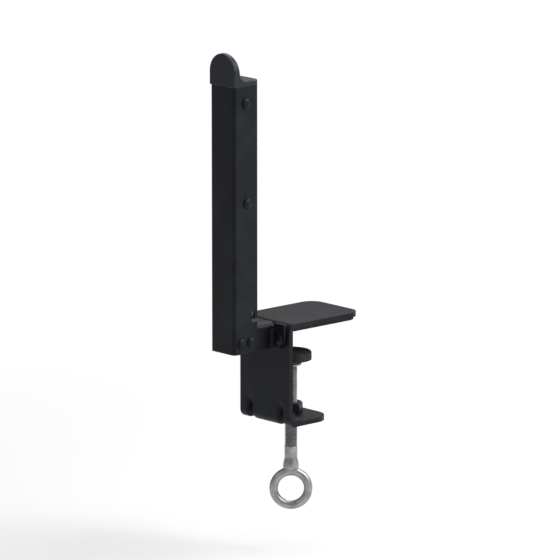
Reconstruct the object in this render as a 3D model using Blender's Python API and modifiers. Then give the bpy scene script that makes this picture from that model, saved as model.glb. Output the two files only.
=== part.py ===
"""A screw clamp for table tennis: a bent steel C-frame that grips the edge of a board, and a steel
channel post that holds and tightens the ends of two cords.

X runs along the board's edge, +Y inwards over the board, +Z up. The origin lies on the clamp
screw's axis, on the underside of the upper jaw's pad, which is the plane of the board's top.
"""

import math

import bmesh
import bpy
from mathutils import Matrix, Vector

MM = 0.001

# Fits
SEAT_GAP = 0.3 * MM  # between faces that are pressed together on the real clamp
HOLE_GAP = 0.3 * MM  # round a rivet, a pin or a screw in its hole
SLIDE_GAP = 0.6 * MM  # beside a piece that slides or rolls between two walls

# Clamp frame: one strip of steel, bent twice
BOARD_THICKNESS = 18 * MM  # the board that the clamp is shown closed on
PAD_THICKNESS = 1.7 * MM
PAD_INSET = 1.5 * MM  # the steel that shows round the pad
STRIP_STEEL = 3 * MM
STRIP_BEND = 2 * MM  # inner radius
JAW_WIDTH = 45 * MM
UPPER_REACH = 58 * MM  # from the board's edge to the tip of the upper jaw
LOWER_REACH = 33 * MM
CLAMP_DROP = 60 * MM  # from the board's top to the underside of the lower jaw
SCREW_SETBACK = 19 * MM  # from the board's edge to the screw's axis
UPPER_CORNER = 9 * MM
LOWER_CORNER = 12 * MM
DART_LEG = 11 * MM  # the pressed darts that stiffen the lower bend
DART_WIDTH = 6 * MM
DART_PLACE = 14 * MM  # from the middle of the strip

# Post: a steel channel, open towards the board
POST_WIDTH = 22 * MM
POST_DEPTH = 19 * MM
POST_STEEL = 1.5 * MM
POST_BEND = 2.5 * MM  # outer radius
POST_FOOT = -11 * MM
NOTCH_FLOOR = 8 * MM  # the J-shaped notches that hold the lower cord
NOTCH_MOUTH = 3 * MM
NOTCH_DEPTH = 5 * MM
NOTCH_RISE = 4 * MM

# Arm: a pressed channel, open downwards, from the clamp frame into the post
ARM_SPAN = 16 * MM  # from the clamp frame to the post
ARM_STEEL = 2 * MM
ARM_BEND = 1 * MM  # inner radius, between its top plate and its ribs
TAB_BEND = 2 * MM
TAB_INSET = 2.3 * MM  # from the edge of the clamp frame to the end of a tab

# Rivets
RIVET_RADIUS = 2 * MM
RIVET_HEAD = 3.4 * MM
RIVET_DOME = 1.3 * MM
RIVET_TAIL = 1 * MM
RIVET_EDGE = 5 * MM  # from a rivet's axis to the nearest edge of the steel

# Upper cord and its roller
NET_HEIGHT = 152.5 * MM
CORD_RADIUS = 1.5 * MM
ROLLER_GROOVE = 5 * MM
ROLLER_RIM = 6.5 * MM
ROLLER_FLANGE = 1.5 * MM
ROLLER_WIDTH = 11 * MM
ROLLER_WALL = 1.3 * MM  # of its hub and its rim, round the dished sides
ROLLER_DISH = 0.5 * MM
ROLLER_PIN = 2 * MM

# Moulded cap, with a horn at the back and two cheeks that go down into the post
CROWN_RISE = 2.8 * MM  # from NET_HEIGHT to the crown's underside
HORN_RISE = 22.5 * MM  # from NET_HEIGHT to the top of the horn
HORN_THICKNESS = 6 * MM
HORN_TAPER = 1.5 * MM
HORN_EDGE = 2 * MM
CROWN_THICKNESS = 3.6 * MM
CAP_OVERHANG = 0.4 * MM
CHEEK_DROP = 9 * MM  # below the roller's axis
CHEEK_CORNER = 3 * MM
SADDLE_RADIUS = 4 * MM

# Cord tensioner, inside the post
TENSION_RADIUS = 2.5 * MM  # M5
WHEEL_SIDE_GAP = 0.8 * MM
WHEEL_THICKNESS = 8 * MM
WHEEL_RIBS = 20
WHEEL_RIB_DEPTH = 0.8 * MM
WHEEL_BEVEL = 1.2 * MM
WHEEL_RIM = 2.5 * MM  # from the tips of the ribs to the dish in either face
WHEEL_HUB = 1.5 * MM
WHEEL_DISH = 0.9 * MM
SPACER_LENGTH = 12.4 * MM
SPACER_WALL = 1.6 * MM
CLIP_THICKNESS = 0.8 * MM
CLIP_RADIUS = 5 * MM
CLIP_OPENING = math.radians(106)
CLIP_GROOVE = 0.6 * MM
SLIDER_FOOT = 52 * MM  # above the board's top, with the cord at its usual tension
SLIDER_HEIGHT = 12 * MM
SLIDER_WALL = 3.2 * MM  # in front of the tension screw
SLIDER_EDGE = 1 * MM
HOOK_WIRE = 1.1 * MM
HOOK_RADIUS = 3.5 * MM
HOOK_SEAT = 2 * MM  # from the slider's underside to the end of the wire
HOOK_SHANK = 16 * MM
HOOK_TIP = 3 * MM
BRIDGE_TOP = 90 * MM
BRIDGE_EAR = 11 * MM
BRIDGE_DEPTH = 9 * MM
BRIDGE_STEEL = 1.5 * MM

# Clamp screw, with its swivel disc
SCREW_RADIUS = 4 * MM  # M8
SCREW_CHAMFER = 0.5 * MM  # on both screws
SPIGOT_RADIUS = 2.5 * MM
PEEN_RADIUS = 3.8 * MM
PEEN_HEIGHT = 1.6 * MM
SHANK_LENGTH = 65 * MM  # from its shoulder to the top of the ring
FLARE = 1 * MM  # how far the forged neck above the ring stands out
NECK_LENGTH = 7 * MM
COLLAR_LENGTH = 2 * MM
RING_RADIUS = 10.75 * MM  # to the middle of its wire
RING_WIRE = 2.75 * MM
RING_TURN = math.radians(48)  # the way the ring faces when the clamp is closed
DISC_RADIUS = 11.2 * MM
DISC_STEEL = 1.6 * MM
DISC_DISH = 3.3 * MM
CAP_SKIN = 2.2 * MM
CAP_WALL = 1.3 * MM
CAP_EDGE = 1 * MM
CAP_LIP = 0.8 * MM
LIP_REACH = 1 * MM  # under the disc's rim
WASHER_RADIUS = 6.5 * MM
WASHER_THICKNESS = 1 * MM
NUT_FLATS = 13 * MM
NUT_HEIGHT = 6.5 * MM

# How finely round shapes are divided
ARC_STEP = math.radians(15)
ROUND_STEPS = 36
SMALL_STEPS = 20
WIRE_STEPS = 12
RING_STEPS = 40
RIB_STEPS = 6
SHARP = math.radians(35)  # edges sharper than this are shaded as edges
WELD = 1e-6
PAST = 2 * MM  # how far a cutter runs past the face that it opens

# Places that follow from the sizes
WEB_IN = -SCREW_SETBACK
WEB_OUT = WEB_IN - STRIP_STEEL
JAW_UNDER = PAD_THICKNESS + SEAT_GAP
JAW_TOP = JAW_UNDER + STRIP_STEEL
LOWER_UNDER = -CLAMP_DROP
LOWER_TOP = LOWER_UNDER + STRIP_STEEL
UPPER_TIP = WEB_IN + UPPER_REACH
LOWER_TIP = WEB_IN + LOWER_REACH

POST_FRONT = WEB_OUT - ARM_SPAN
POST_BACK = POST_FRONT - POST_DEPTH
POST_WALL = POST_BACK + POST_STEEL
POST_HALF = POST_WIDTH / 2
POST_INSIDE = POST_HALF - POST_STEEL
POST_FILLET = POST_BEND - POST_STEEL
CROWN_UNDER = NET_HEIGHT + CROWN_RISE
CROWN_TOP = CROWN_UNDER + CROWN_THICKNESS
POST_TOP = CROWN_UNDER - SEAT_GAP
HORN_TOP = NET_HEIGHT + HORN_RISE

ARM_HALF = POST_INSIDE - SEAT_GAP
ARM_TOP = JAW_TOP
ARM_PLATE = ARM_TOP - ARM_STEEL  # the underside of its top plate
ARM_BACK = POST_WALL + POST_FILLET
ARM_FRONT = WEB_OUT - SEAT_GAP
RIB_MIDDLE = (ARM_PLATE - ARM_BEND + POST_FOOT) / 2  # of the flat of its ribs
TAB_END = JAW_WIDTH / 2 - TAB_INSET
TAB_MIDDLE = (ARM_HALF + ARM_STEEL + TAB_END) / 2

# The post's rivets, as (y, z). Where two heads don't fit side by side, the front one goes higher.
FRONT_ROW = POST_FRONT - RIVET_EDGE
BACK_ROW = POST_BACK + POST_BEND + SEAT_GAP + RIVET_HEAD
ROW_STEP = math.sqrt(max(0, (2 * RIVET_HEAD + SEAT_GAP) ** 2 - (FRONT_ROW - BACK_ROW) ** 2))
POST_RIVETS = ((FRONT_ROW, RIB_MIDDLE + ROW_STEP / 2), (BACK_ROW, RIB_MIDDLE - ROW_STEP / 2))

ROLLER_Z = NET_HEIGHT - 2 * CORD_RADIUS - ROLLER_GROOVE
ROLLER_Y = POST_WALL + 2 * CORD_RADIUS + ROLLER_GROOVE + SLIDE_GAP
CHEEK_IN = ROLLER_WIDTH / 2 + SLIDE_GAP

WHEEL_RADIUS = POST_INSIDE - WHEEL_SIDE_GAP
TENSION_Y = POST_WALL + WHEEL_RADIUS + WHEEL_SIDE_GAP
SPACER_FOOT = ARM_TOP + SEAT_GAP
WHEEL_FOOT = SPACER_FOOT + SPACER_LENGTH + SEAT_GAP
BRIDGE_FOOT = BRIDGE_TOP - BRIDGE_STEEL - BRIDGE_EAR
BRIDGE_RIVET_Z = BRIDGE_FOOT + RIVET_EDGE
SLIDER_BACK = POST_WALL + POST_FILLET + SLIDE_GAP / 2
HOOK_Y = (SLIDER_BACK + TENSION_Y - TENSION_RADIUS) / 2 - SLIDE_GAP
BORE_TENSION = TENSION_RADIUS + HOLE_GAP

DISC_TOP = -BOARD_THICKNESS  # the face that presses on the underside of the board
RIM_TOP = DISC_TOP - CAP_SKIN - SEAT_GAP
HUB_TOP = RIM_TOP - DISC_DISH
HUB_UNDER = HUB_TOP - DISC_STEEL
WASHER_TOP = HUB_UNDER - SEAT_GAP
SHOULDER = WASHER_TOP - WASHER_THICKNESS - SEAT_GAP
RING_TOP = SHOULDER - SHANK_LENGTH
RING_Z = RING_TOP - RING_WIRE - RING_RADIUS


# Building blocks

def clear_scene():
    for obj in list(bpy.data.objects):
        bpy.data.objects.remove(obj, do_unlink=True)


def new_collection(name):
    collection = bpy.data.collections.new(name)
    bpy.context.scene.collection.children.link(collection)
    return collection


def material(name, colour, roughness, metallic):
    made = bpy.data.materials.new(name)
    made.use_nodes = True
    shader = made.node_tree.nodes["Principled BSDF"]
    shader.inputs["Base Color"].default_value = (*colour, 1)
    shader.inputs["Roughness"].default_value = roughness
    shader.inputs["Metallic"].default_value = metallic
    return made


def rounded(corners):
    """The points of an outline or a path. A corner given as (u, v, radius) becomes an arc."""
    points = []
    for index, corner in enumerate(corners):
        here = Vector(corner[:2])
        if len(corner) == 2:
            points.append(here)
            continue
        before = (Vector(corners[index - 1][:2]) - here).normalized()
        after = (Vector(corners[(index + 1) % len(corners)][:2]) - here).normalized()
        half = before.angle(after) / 2
        centre = here + (before + after).normalized() * corner[2] / math.sin(half)
        start = here + before * corner[2] / math.tan(half) - centre
        end = here + after * corner[2] / math.tan(half) - centre
        first = math.atan2(start.y, start.x)
        turn = (math.atan2(end.y, end.x) - first + math.pi) % math.tau - math.pi
        points += arc(centre, corner[2], first, first + turn)
    return points


def arc(centre, radius, first, last):
    steps = max(2, math.ceil(abs(last - first) / ARC_STEP - 1e-6))
    angles = [first + (last - first) * step / steps for step in range(steps + 1)]
    return [Vector((centre[0] + radius * math.cos(a), centre[1] + radius * math.sin(a))) for a in angles]


def circle(centre, radius, steps=SMALL_STEPS):
    angles = [math.tau * step / steps for step in range(steps)]
    return [Vector((centre[0] + radius * math.cos(a), centre[1] + radius * math.sin(a))) for a in angles]


def in_world(axis, u, v, w):
    """An outline's (u, v) and its depth w, for a piece whose flat faces look along the axis."""
    return {"X": (w, u, v), "Y": (u, w, v), "Z": (u, v, w)}[axis]


def place_mesh(name, bm, collection, look=None):
    bmesh.ops.remove_doubles(bm, verts=bm.verts, dist=WELD)
    bmesh.ops.recalc_face_normals(bm, faces=bm.faces)
    mesh = bpy.data.meshes.new(name)
    bm.to_mesh(mesh)
    bm.free()
    mesh.shade_smooth()
    mesh.set_sharp_from_angle(angle=SHARP)
    return place(name, mesh, collection, look)


def place(name, data, collection, look=None):
    obj = bpy.data.objects.new(name, data)
    collection.objects.link(obj)
    if look:
        data.materials.append(look)
    if collection is CUTTERS:
        obj.hide_render = True
        obj.display_type = "WIRE"
    return obj


def plate(name, outline, axis, low, high, collection, look=None, holes=()):
    """A flat piece: its outline as a filled 2D curve, extruded from low to high along the axis."""
    curve = bpy.data.curves.new(name, "CURVE")
    curve.dimensions = "2D"
    curve.fill_mode = "BOTH"
    curve.extrude = (high - low) / 2
    for loop in (outline, *holes):
        spline = curve.splines.new("POLY")
        spline.use_cyclic_u = True
        spline.points.add(len(loop) - 1)
        for point, (u, v) in zip(spline.points, loop):
            point.co = (u, v, 0, 1)
    guide = place(name + "_outline", curve, CUTTERS)
    depsgraph = bpy.context.evaluated_depsgraph_get()
    mesh = bpy.data.meshes.new_from_object(guide.evaluated_get(depsgraph))
    bpy.data.objects.remove(guide)
    bm = bmesh.new()
    bm.from_mesh(mesh)
    for vert in bm.verts:
        vert.co = in_world(axis, vert.co.x, vert.co.y, vert.co.z + (low + high) / 2)
    return place_mesh(name, bm, collection, look)


def strip(name, path, axis, low, high, thickness, collection, look):
    """Bent sheet steel: the path is one face of the sheet, and thickness is added on its left."""
    bm = bmesh.new()
    near = [bm.verts.new(in_world(axis, u, v, low)) for u, v in path]
    far = [bm.verts.new(in_world(axis, u, v, high)) for u, v in path]
    for i in range(len(path) - 1):
        bm.faces.new((near[i], near[i + 1], far[i + 1], far[i]))
    mesh = bpy.data.meshes.new(name)
    bm.to_mesh(mesh)
    bm.free()
    obj = place(name, mesh, collection, look)
    solidify = obj.modifiers.new("sheet", "SOLIDIFY")
    solidify.thickness = abs(thickness)
    solidify.offset = math.copysign(1, thickness)
    solidify.use_even_offset = True
    return obj


def block(name, low, high, edge, collection, look):
    """A block between two corners, with its edges rounded."""
    bm = bmesh.new()
    bmesh.ops.create_cube(bm, size=1)
    size = Vector(high) - Vector(low)
    middle = (Vector(high) + Vector(low)) / 2
    bmesh.ops.transform(bm, matrix=Matrix.Translation(middle) @ Matrix.Diagonal((*size, 1)), verts=bm.verts)
    obj = place_mesh(name, bm, collection, look)
    bevel = obj.modifiers.new("edge", "BEVEL")
    bevel.width = edge
    bevel.segments = 2
    return obj


TO_AXIS = {"Z": (0, 0, 0), "-Z": (math.pi, 0, 0), "X": (0, math.pi / 2, 0), "-X": (0, -math.pi / 2, 0),
           "Y": (-math.pi / 2, 0, 0), "-Y": (math.pi / 2, 0, 0)}


def turned(name, profile, origin, collection, look=None, axis="Z", closed=False, steps=ROUND_STEPS):
    """A turned piece: (radius, height) pairs down its outer side, spun round the axis. A closed
    profile makes a ring."""
    mesh = bpy.data.meshes.new(name)
    edges = [(i, i + 1) for i in range(len(profile) - 1)]
    if closed:
        edges.append((len(profile) - 1, 0))
    mesh.from_pydata([(radius, 0, height) for radius, height in profile], edges, [])
    obj = place(name, mesh, collection, look)
    obj.location = origin
    obj.rotation_euler = TO_AXIS[axis]
    screw = obj.modifiers.new("turning", "SCREW")
    screw.steps = screw.render_steps = steps
    screw.use_merge_vertices = True
    screw.merge_threshold = 0.00001
    screw.use_smooth_shade = True
    return obj


def drill(target, axis, middle, radius, length, end_radius=None):
    """A round hole through the target. A second radius makes it a countersink, wider at the axis's end."""
    bm = bmesh.new()
    bmesh.ops.create_cone(bm, cap_ends=True, segments=SMALL_STEPS, radius1=radius,
                          radius2=end_radius or radius, depth=length)
    cutter = place_mesh(target.name + "_hole", bm, CUTTERS)
    cutter.location = middle
    cutter.rotation_euler = TO_AXIS[axis]
    shape(target, cutter, "DIFFERENCE")


def shape(target, tool, operation, solver="EXACT"):
    boolean = target.modifiers.new(tool.name, "BOOLEAN")
    boolean.operation = operation
    boolean.solver = solver
    boolean.object = tool


def axis_empty(name, at, pieces):
    """An empty on a joint's axis, which carries the pieces that move together."""
    empty = bpy.data.objects.new(name, None)
    PIECES.objects.link(empty)
    empty.empty_display_size = 5 * MM
    empty.location = at
    for piece in pieces:
        piece.parent = empty
        piece.matrix_parent_inverse = Matrix.Translation(at).inverted()


# The clamp frame and what is fixed to it

def corner_waste(name, side, tip, radius, under):
    """What is cut away to round the corner of a jaw's tip. Under is the height of the jaw's underside."""
    edge = side * JAW_WIDTH / 2
    inner = edge - side * radius
    sweep = (0, math.pi / 2) if side > 0 else (math.pi, math.pi / 2)
    outline = arc((inner, tip - radius), radius, *sweep)
    outline += [Vector((inner, tip + PAST)), Vector((edge + side * PAST, tip + PAST))]
    outline += [Vector((edge + side * PAST, tip - radius))]
    return plate(name, outline, "Z", under - PAST, under + STRIP_STEEL + PAST, CUTTERS)


def dart(name, place_x, leg, width, shift):
    """The wedge of a pressed dart in the lower bend, moved out by shift along both faces."""
    corner = (WEB_IN - shift, LOWER_TOP - shift)
    outline = [Vector(corner), Vector((corner[0] + leg, corner[1])), Vector((corner[0], corner[1] + leg))]
    return plate(name, outline, "X", place_x - width / 2, place_x + width / 2, CUTTERS)


def make_clamp_frame():
    path = rounded([(UPPER_TIP, JAW_UNDER), (WEB_IN, JAW_UNDER, STRIP_BEND),
                    (WEB_IN, LOWER_TOP, STRIP_BEND), (LOWER_TIP, LOWER_TOP)])
    frame = strip("clamp_frame", path, "X", -JAW_WIDTH / 2, JAW_WIDTH / 2, STRIP_STEEL, PIECES, PAINT)
    for side in (-1, 1):
        shape(frame, corner_waste("upper_corner", side, UPPER_TIP, UPPER_CORNER, JAW_UNDER), "DIFFERENCE")
        shape(frame, corner_waste("lower_corner", side, LOWER_TIP, LOWER_CORNER, LOWER_UNDER), "DIFFERENCE")
        # The metal pushed in on the inside of the bend leaves a hollow of the same form outside it.
        inside = dart("dart", side * DART_PLACE, DART_LEG + STRIP_STEEL / 2, DART_WIDTH, STRIP_STEEL / 4)
        outside = dart("dart_hollow", side * DART_PLACE, DART_LEG, DART_WIDTH - STRIP_STEEL,
                       STRIP_STEEL + STRIP_STEEL / 4)
        shape(frame, inside, "UNION")
        shape(frame, outside, "DIFFERENCE")
        rivet_at = (side * TAB_MIDDLE, (WEB_IN + WEB_OUT) / 2, RIB_MIDDLE)
        drill(frame, "Y", rivet_at, RIVET_RADIUS + HOLE_GAP, STRIP_STEEL + 2 * PAST)
        sink = (side * TAB_MIDDLE, WEB_IN - STRIP_STEEL / 4, RIB_MIDDLE)
        drill(frame, "Y", sink, RIVET_RADIUS + HOLE_GAP, STRIP_STEEL / 2, RIVET_HEAD + 2 * HOLE_GAP)
    drill(frame, "Z", (0, 0, (LOWER_UNDER + LOWER_TOP) / 2), SCREW_RADIUS + HOLE_GAP, STRIP_STEEL + 2 * PAST)
    return frame


def make_jaw_pad():
    half = JAW_WIDTH / 2 - PAD_INSET
    back = WEB_IN + STRIP_BEND + SEAT_GAP
    front = UPPER_TIP - PAD_INSET
    corner = UPPER_CORNER - PAD_INSET
    outline = rounded([(-half, back), (half, back), (half, front, corner), (-half, front, corner)])
    return plate("jaw_pad", outline, "Z", 0, PAD_THICKNESS, PIECES, RUBBER)


def make_weld_nut():
    low = LOWER_TOP + SEAT_GAP
    corner = NUT_FLATS / math.sqrt(3)
    hexagon = circle((0, 0), corner, 6)
    bore = circle((0, 0), SCREW_RADIUS + HOLE_GAP, SMALL_STEPS)
    nut = plate("weld_nut", hexagon, "Z", low, low + NUT_HEIGHT, PIECES, PAINT, [bore])
    wide = corner + PAST
    # A cone that takes the corners off the nut's upper face
    dome = [(0, NUT_HEIGHT + PAST), (NUT_FLATS / 2, NUT_HEIGHT + PAST), (NUT_FLATS / 2, NUT_HEIGHT),
            (wide, NUT_HEIGHT - (wide - NUT_FLATS / 2)), (wide, -PAST), (0, -PAST)]
    shape(nut, turned("nut_chamfer", dome, (0, 0, low), CUTTERS), "INTERSECT")
    return nut


def make_post_arm():
    """A channel open downwards. Its two ribs turn outwards at the clamp frame, as riveted tabs."""
    behind = ARM_FRONT - ARM_STEEL
    right = [(ARM_HALF, ARM_BACK), (ARM_HALF, behind, TAB_BEND), (TAB_END, behind), (TAB_END, ARM_FRONT)]
    left = [(-u, v, *r) for u, v, *r in reversed(right)]
    arm = plate("post_arm", rounded(right + left), "Z", POST_FOOT, ARM_TOP, PIECES, PAINT)
    inside = ARM_HALF - ARM_STEEL
    hollow = rounded([(-inside, POST_FOOT - PAST), (inside, POST_FOOT - PAST),
                      (inside, ARM_PLATE, ARM_BEND), (-inside, ARM_PLATE, ARM_BEND)])
    tunnel = plate("arm_hollow", hollow, "Y", ARM_BACK - PAST, ARM_FRONT + PAST, CUTTERS)
    shape(arm, tunnel, "DIFFERENCE", "MANIFOLD")  # EXACT leaves open edges at the hollow's corners
    for side in (-1, 1):
        corner = plate("tab_corner", foot_corner(side * TAB_END, side), "Y", behind - ARM_STEEL,
                       ARM_FRONT + PAST, CUTTERS)
        shape(arm, corner, "DIFFERENCE")
        tab_hole = (side * TAB_MIDDLE, ARM_FRONT - ARM_STEEL / 2, RIB_MIDDLE)
        drill(arm, "Y", tab_hole, RIVET_RADIUS + HOLE_GAP, ARM_STEEL + PAST)
    for y, z in POST_RIVETS:
        drill(arm, "X", (0, y, z), RIVET_RADIUS + HOLE_GAP, POST_WIDTH)
    drill(arm, "Z", (0, TENSION_Y, ARM_PLATE), BORE_TENSION, 2 * ARM_STEEL + PAST)
    return arm


def foot_corner(edge, side):
    """What is cut away where a lower corner of the post or the arm is chamfered. Side points outwards."""
    past, inner = edge + side * PAST, edge - side * RIVET_EDGE
    return [(past, POST_FOOT - PAST), (past, POST_FOOT + RIVET_EDGE), (edge, POST_FOOT + RIVET_EDGE),
            (inner, POST_FOOT), (inner, POST_FOOT - PAST)]


def make_net_post():
    path = rounded([(-POST_HALF, POST_FRONT), (-POST_HALF, POST_BACK, POST_BEND),
                    (POST_HALF, POST_BACK, POST_BEND), (POST_HALF, POST_FRONT)])
    post = strip("net_post", path, "Z", POST_FOOT, POST_TOP, -POST_STEEL, PIECES, PAINT)
    deep, near = POST_FRONT - NOTCH_DEPTH, POST_FRONT - NOTCH_DEPTH + NOTCH_MOUTH
    lip = NOTCH_FLOOR + NOTCH_MOUTH
    top_round = NOTCH_MOUTH / 2 - WELD
    notch = rounded([(POST_FRONT + PAST, NOTCH_FLOOR), (deep, NOTCH_FLOOR, NOTCH_MOUTH / 2),
                     (deep, lip + NOTCH_RISE, top_round), (near, lip + NOTCH_RISE, top_round),
                     (near, lip), (POST_FRONT + PAST, lip)])
    shape(post, plate("cord_notch", notch, "X", -POST_WIDTH, POST_WIDTH, CUTTERS), "DIFFERENCE")
    foot = foot_corner(POST_FRONT, 1)
    shape(post, plate("post_corner", foot, "X", -POST_WIDTH, POST_WIDTH, CUTTERS), "DIFFERENCE")
    across = 2 * POST_WIDTH
    for y, z in POST_RIVETS:
        drill(post, "X", (0, y, z), RIVET_RADIUS + HOLE_GAP, across)
    drill(post, "X", (0, ROLLER_Y, ROLLER_Z), ROLLER_PIN + HOLE_GAP, across)
    drill(post, "X", (0, TENSION_Y, BRIDGE_RIVET_Z), RIVET_RADIUS + HOLE_GAP, across)
    return post


def dome(seat):
    """The profile of a rivet's domed head, whose flat side is at the height of the seat."""
    return [(RIVET_HEAD * radius, seat + RIVET_DOME * height) for radius, height in
            ((0, 1), *((math.cos(angle), math.sin(angle)) for angle in (math.pi / 3, math.pi / 6, 0)))]


def make_rivet(name, at, axis, grip):
    """A domed rivet. The place is on the outer face; the axis points out of it."""
    tail = -grip - SEAT_GAP
    profile = [*dome(SEAT_GAP), (RIVET_RADIUS, SEAT_GAP), (RIVET_RADIUS, tail), (RIVET_HEAD, tail),
               (RIVET_HEAD - RIVET_TAIL / 2, tail - RIVET_TAIL), (0, tail - RIVET_TAIL)]
    return turned(name, profile, at, PIECES, PAINT, axis, steps=SMALL_STEPS)


def make_post_rivets():
    grip = POST_STEEL + SEAT_GAP + ARM_STEEL
    made = []
    for y, z in POST_RIVETS:
        for side, axis in ((1, "X"), (-1, "-X")):
            name = f"post_rivet_{len(made) + 1}"
            made.append(make_rivet(name, (side * POST_HALF, y, z), axis, grip))
    return made


def make_arm_rivets():
    """Domed on the tab's side, and countersunk flush in the frame, where the board's edge rests."""
    grip = ARM_STEEL + SEAT_GAP + STRIP_STEEL
    flush = -grip + SEAT_GAP / 2
    neck = flush + STRIP_STEEL / 2
    profile = [*dome(SEAT_GAP), (RIVET_RADIUS, SEAT_GAP), (RIVET_RADIUS, neck), (RIVET_HEAD, flush),
               (0, flush)]
    outer_face = ARM_FRONT - ARM_STEEL
    return [turned(f"arm_rivet_{i + 1}", profile, (side * TAB_MIDDLE, outer_face, RIB_MIDDLE), PIECES, PAINT,
                   "-Y", steps=SMALL_STEPS) for i, side in enumerate((1, -1))]


# The head of the post

def make_post_cap():
    """A moulding: a horn at the back, a crown over the channel's edges, and two cheeks inside it."""
    half = POST_HALF + CAP_OVERHANG
    back = POST_BACK - CAP_OVERHANG
    front = POST_FRONT + CAP_OVERHANG
    horn_front = back + HORN_THICKNESS
    side_view = rounded([(back, CROWN_UNDER), (front, CROWN_UNDER), (front, CROWN_TOP, CROWN_THICKNESS / 2),
                         (horn_front, CROWN_TOP, SADDLE_RADIUS),
                         (horn_front - HORN_TAPER, HORN_TOP, HORN_EDGE), (back, HORN_TOP, HORN_EDGE)])
    cap = plate("post_cap", side_view, "X", -half, half, PIECES, PLASTIC)
    shoulder = HORN_TOP - half
    front_view = [Vector((-half - PAST, CROWN_UNDER - PAST)), Vector((half + PAST, CROWN_UNDER - PAST)),
                  Vector((half + PAST, CROWN_TOP)), Vector((half, CROWN_TOP + SADDLE_RADIUS / 2))]
    front_view += arc((0, shoulder), half, 0, math.pi)
    front_view += [Vector((-half, CROWN_TOP + SADDLE_RADIUS / 2)), Vector((-half - PAST, CROWN_TOP))]
    shape(cap, plate("horn_outline", front_view, "Y", back - PAST, front + PAST, CUTTERS), "INTERSECT")
    cheek_foot = ROLLER_Z - CHEEK_DROP
    cheek_back = POST_WALL + POST_FILLET
    cheek_front = POST_FRONT - SLIDE_GAP
    cheek_top = CROWN_UNDER + CROWN_THICKNESS / 2
    cheek_view = rounded([(cheek_back, cheek_foot, CHEEK_CORNER),
                          (cheek_front, cheek_foot + CHEEK_DROP / 2, CHEEK_CORNER),
                          (cheek_front, cheek_top), (cheek_back, cheek_top)])
    for side in (-1, 1):
        inner, outer = sorted((side * CHEEK_IN, side * (POST_INSIDE - SEAT_GAP)))
        shape(cap, plate("cap_cheek", cheek_view, "X", inner, outer, CUTTERS), "UNION")
    drill(cap, "X", (0, ROLLER_Y, ROLLER_Z), ROLLER_PIN + HOLE_GAP, POST_WIDTH + 2 * PAST)
    return cap


def make_cord_roller():
    half = ROLLER_WIDTH / 2
    shore = half - ROLLER_FLANGE
    hollow = (ROLLER_RIM - ROLLER_GROOVE) / 4
    valley = [(ROLLER_GROOVE, CORD_RADIUS), (ROLLER_GROOVE - hollow, 0), (ROLLER_GROOVE, -CORD_RADIUS)]
    bore = ROLLER_PIN + HOLE_GAP
    hub, dish_edge, floor = bore + ROLLER_WALL, ROLLER_RIM - ROLLER_WALL, half - ROLLER_DISH
    profile = [(ROLLER_RIM, half), (ROLLER_RIM, shore), *valley, (ROLLER_RIM, -shore), (ROLLER_RIM, -half),
               (dish_edge, -half), (dish_edge, -floor), (hub, -floor), (hub, -half), (bore, -half),
               (bore, half), (hub, half), (hub, floor), (dish_edge, floor), (dish_edge, half)]
    return turned("cord_roller", profile, (0, ROLLER_Y, ROLLER_Z), PIECES, PLASTIC, "X", closed=True)


def make_roller_pin():
    seat = POST_HALF + SEAT_GAP
    profile = [*dome(seat), (ROLLER_PIN, seat)]
    profile += [(radius, -height) for radius, height in reversed(profile)]
    return turned("roller_pin", profile, (0, ROLLER_Y, ROLLER_Z), PIECES, PAINT, "X", steps=SMALL_STEPS)


# The cord tensioner

def make_screw_bridge():
    """A small bent strip across the channel, which steadies the top of the tension screw."""
    half = POST_INSIDE - SEAT_GAP
    path = rounded([(-half, BRIDGE_FOOT), (-half, BRIDGE_TOP, POST_BEND),
                    (half, BRIDGE_TOP, POST_BEND), (half, BRIDGE_FOOT)])
    low, high = TENSION_Y - BRIDGE_DEPTH / 2, TENSION_Y + BRIDGE_DEPTH / 2
    bridge = strip("screw_bridge", path, "Y", low, high, -BRIDGE_STEEL, PIECES, ZINC)
    drill(bridge, "Z", (0, TENSION_Y, BRIDGE_TOP), BORE_TENSION, 2 * BRIDGE_STEEL + PAST)
    drill(bridge, "X", (0, TENSION_Y, BRIDGE_RIVET_Z), RIVET_RADIUS + HOLE_GAP, POST_WIDTH)
    return bridge


def make_bridge_rivets():
    grip = POST_STEEL + SEAT_GAP + BRIDGE_STEEL
    return [make_rivet(f"bridge_rivet_{i + 1}", (side * POST_HALF, TENSION_Y, BRIDGE_RIVET_Z), axis, grip)
            for i, (side, axis) in enumerate(((1, "X"), (-1, "-X")))]


def make_tension_screw():
    top = BRIDGE_TOP + BRIDGE_STEEL
    clip_top = ARM_PLATE - SEAT_GAP / 2
    clip_low = clip_top - CLIP_THICKNESS - SEAT_GAP
    end = clip_low - 2 * CLIP_THICKNESS
    neck = TENSION_RADIUS - CLIP_GROOVE
    tip = TENSION_RADIUS - SCREW_CHAMFER
    profile = [(0, top), (tip, top), (TENSION_RADIUS, top - SCREW_CHAMFER), (TENSION_RADIUS, clip_top),
               (neck, clip_top), (neck, clip_low), (TENSION_RADIUS, clip_low),
               (TENSION_RADIUS, end + SCREW_CHAMFER), (tip, end), (0, end)]
    return turned("tension_screw", profile, (0, TENSION_Y, 0), PIECES, ZINC, steps=SMALL_STEPS)


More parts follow.
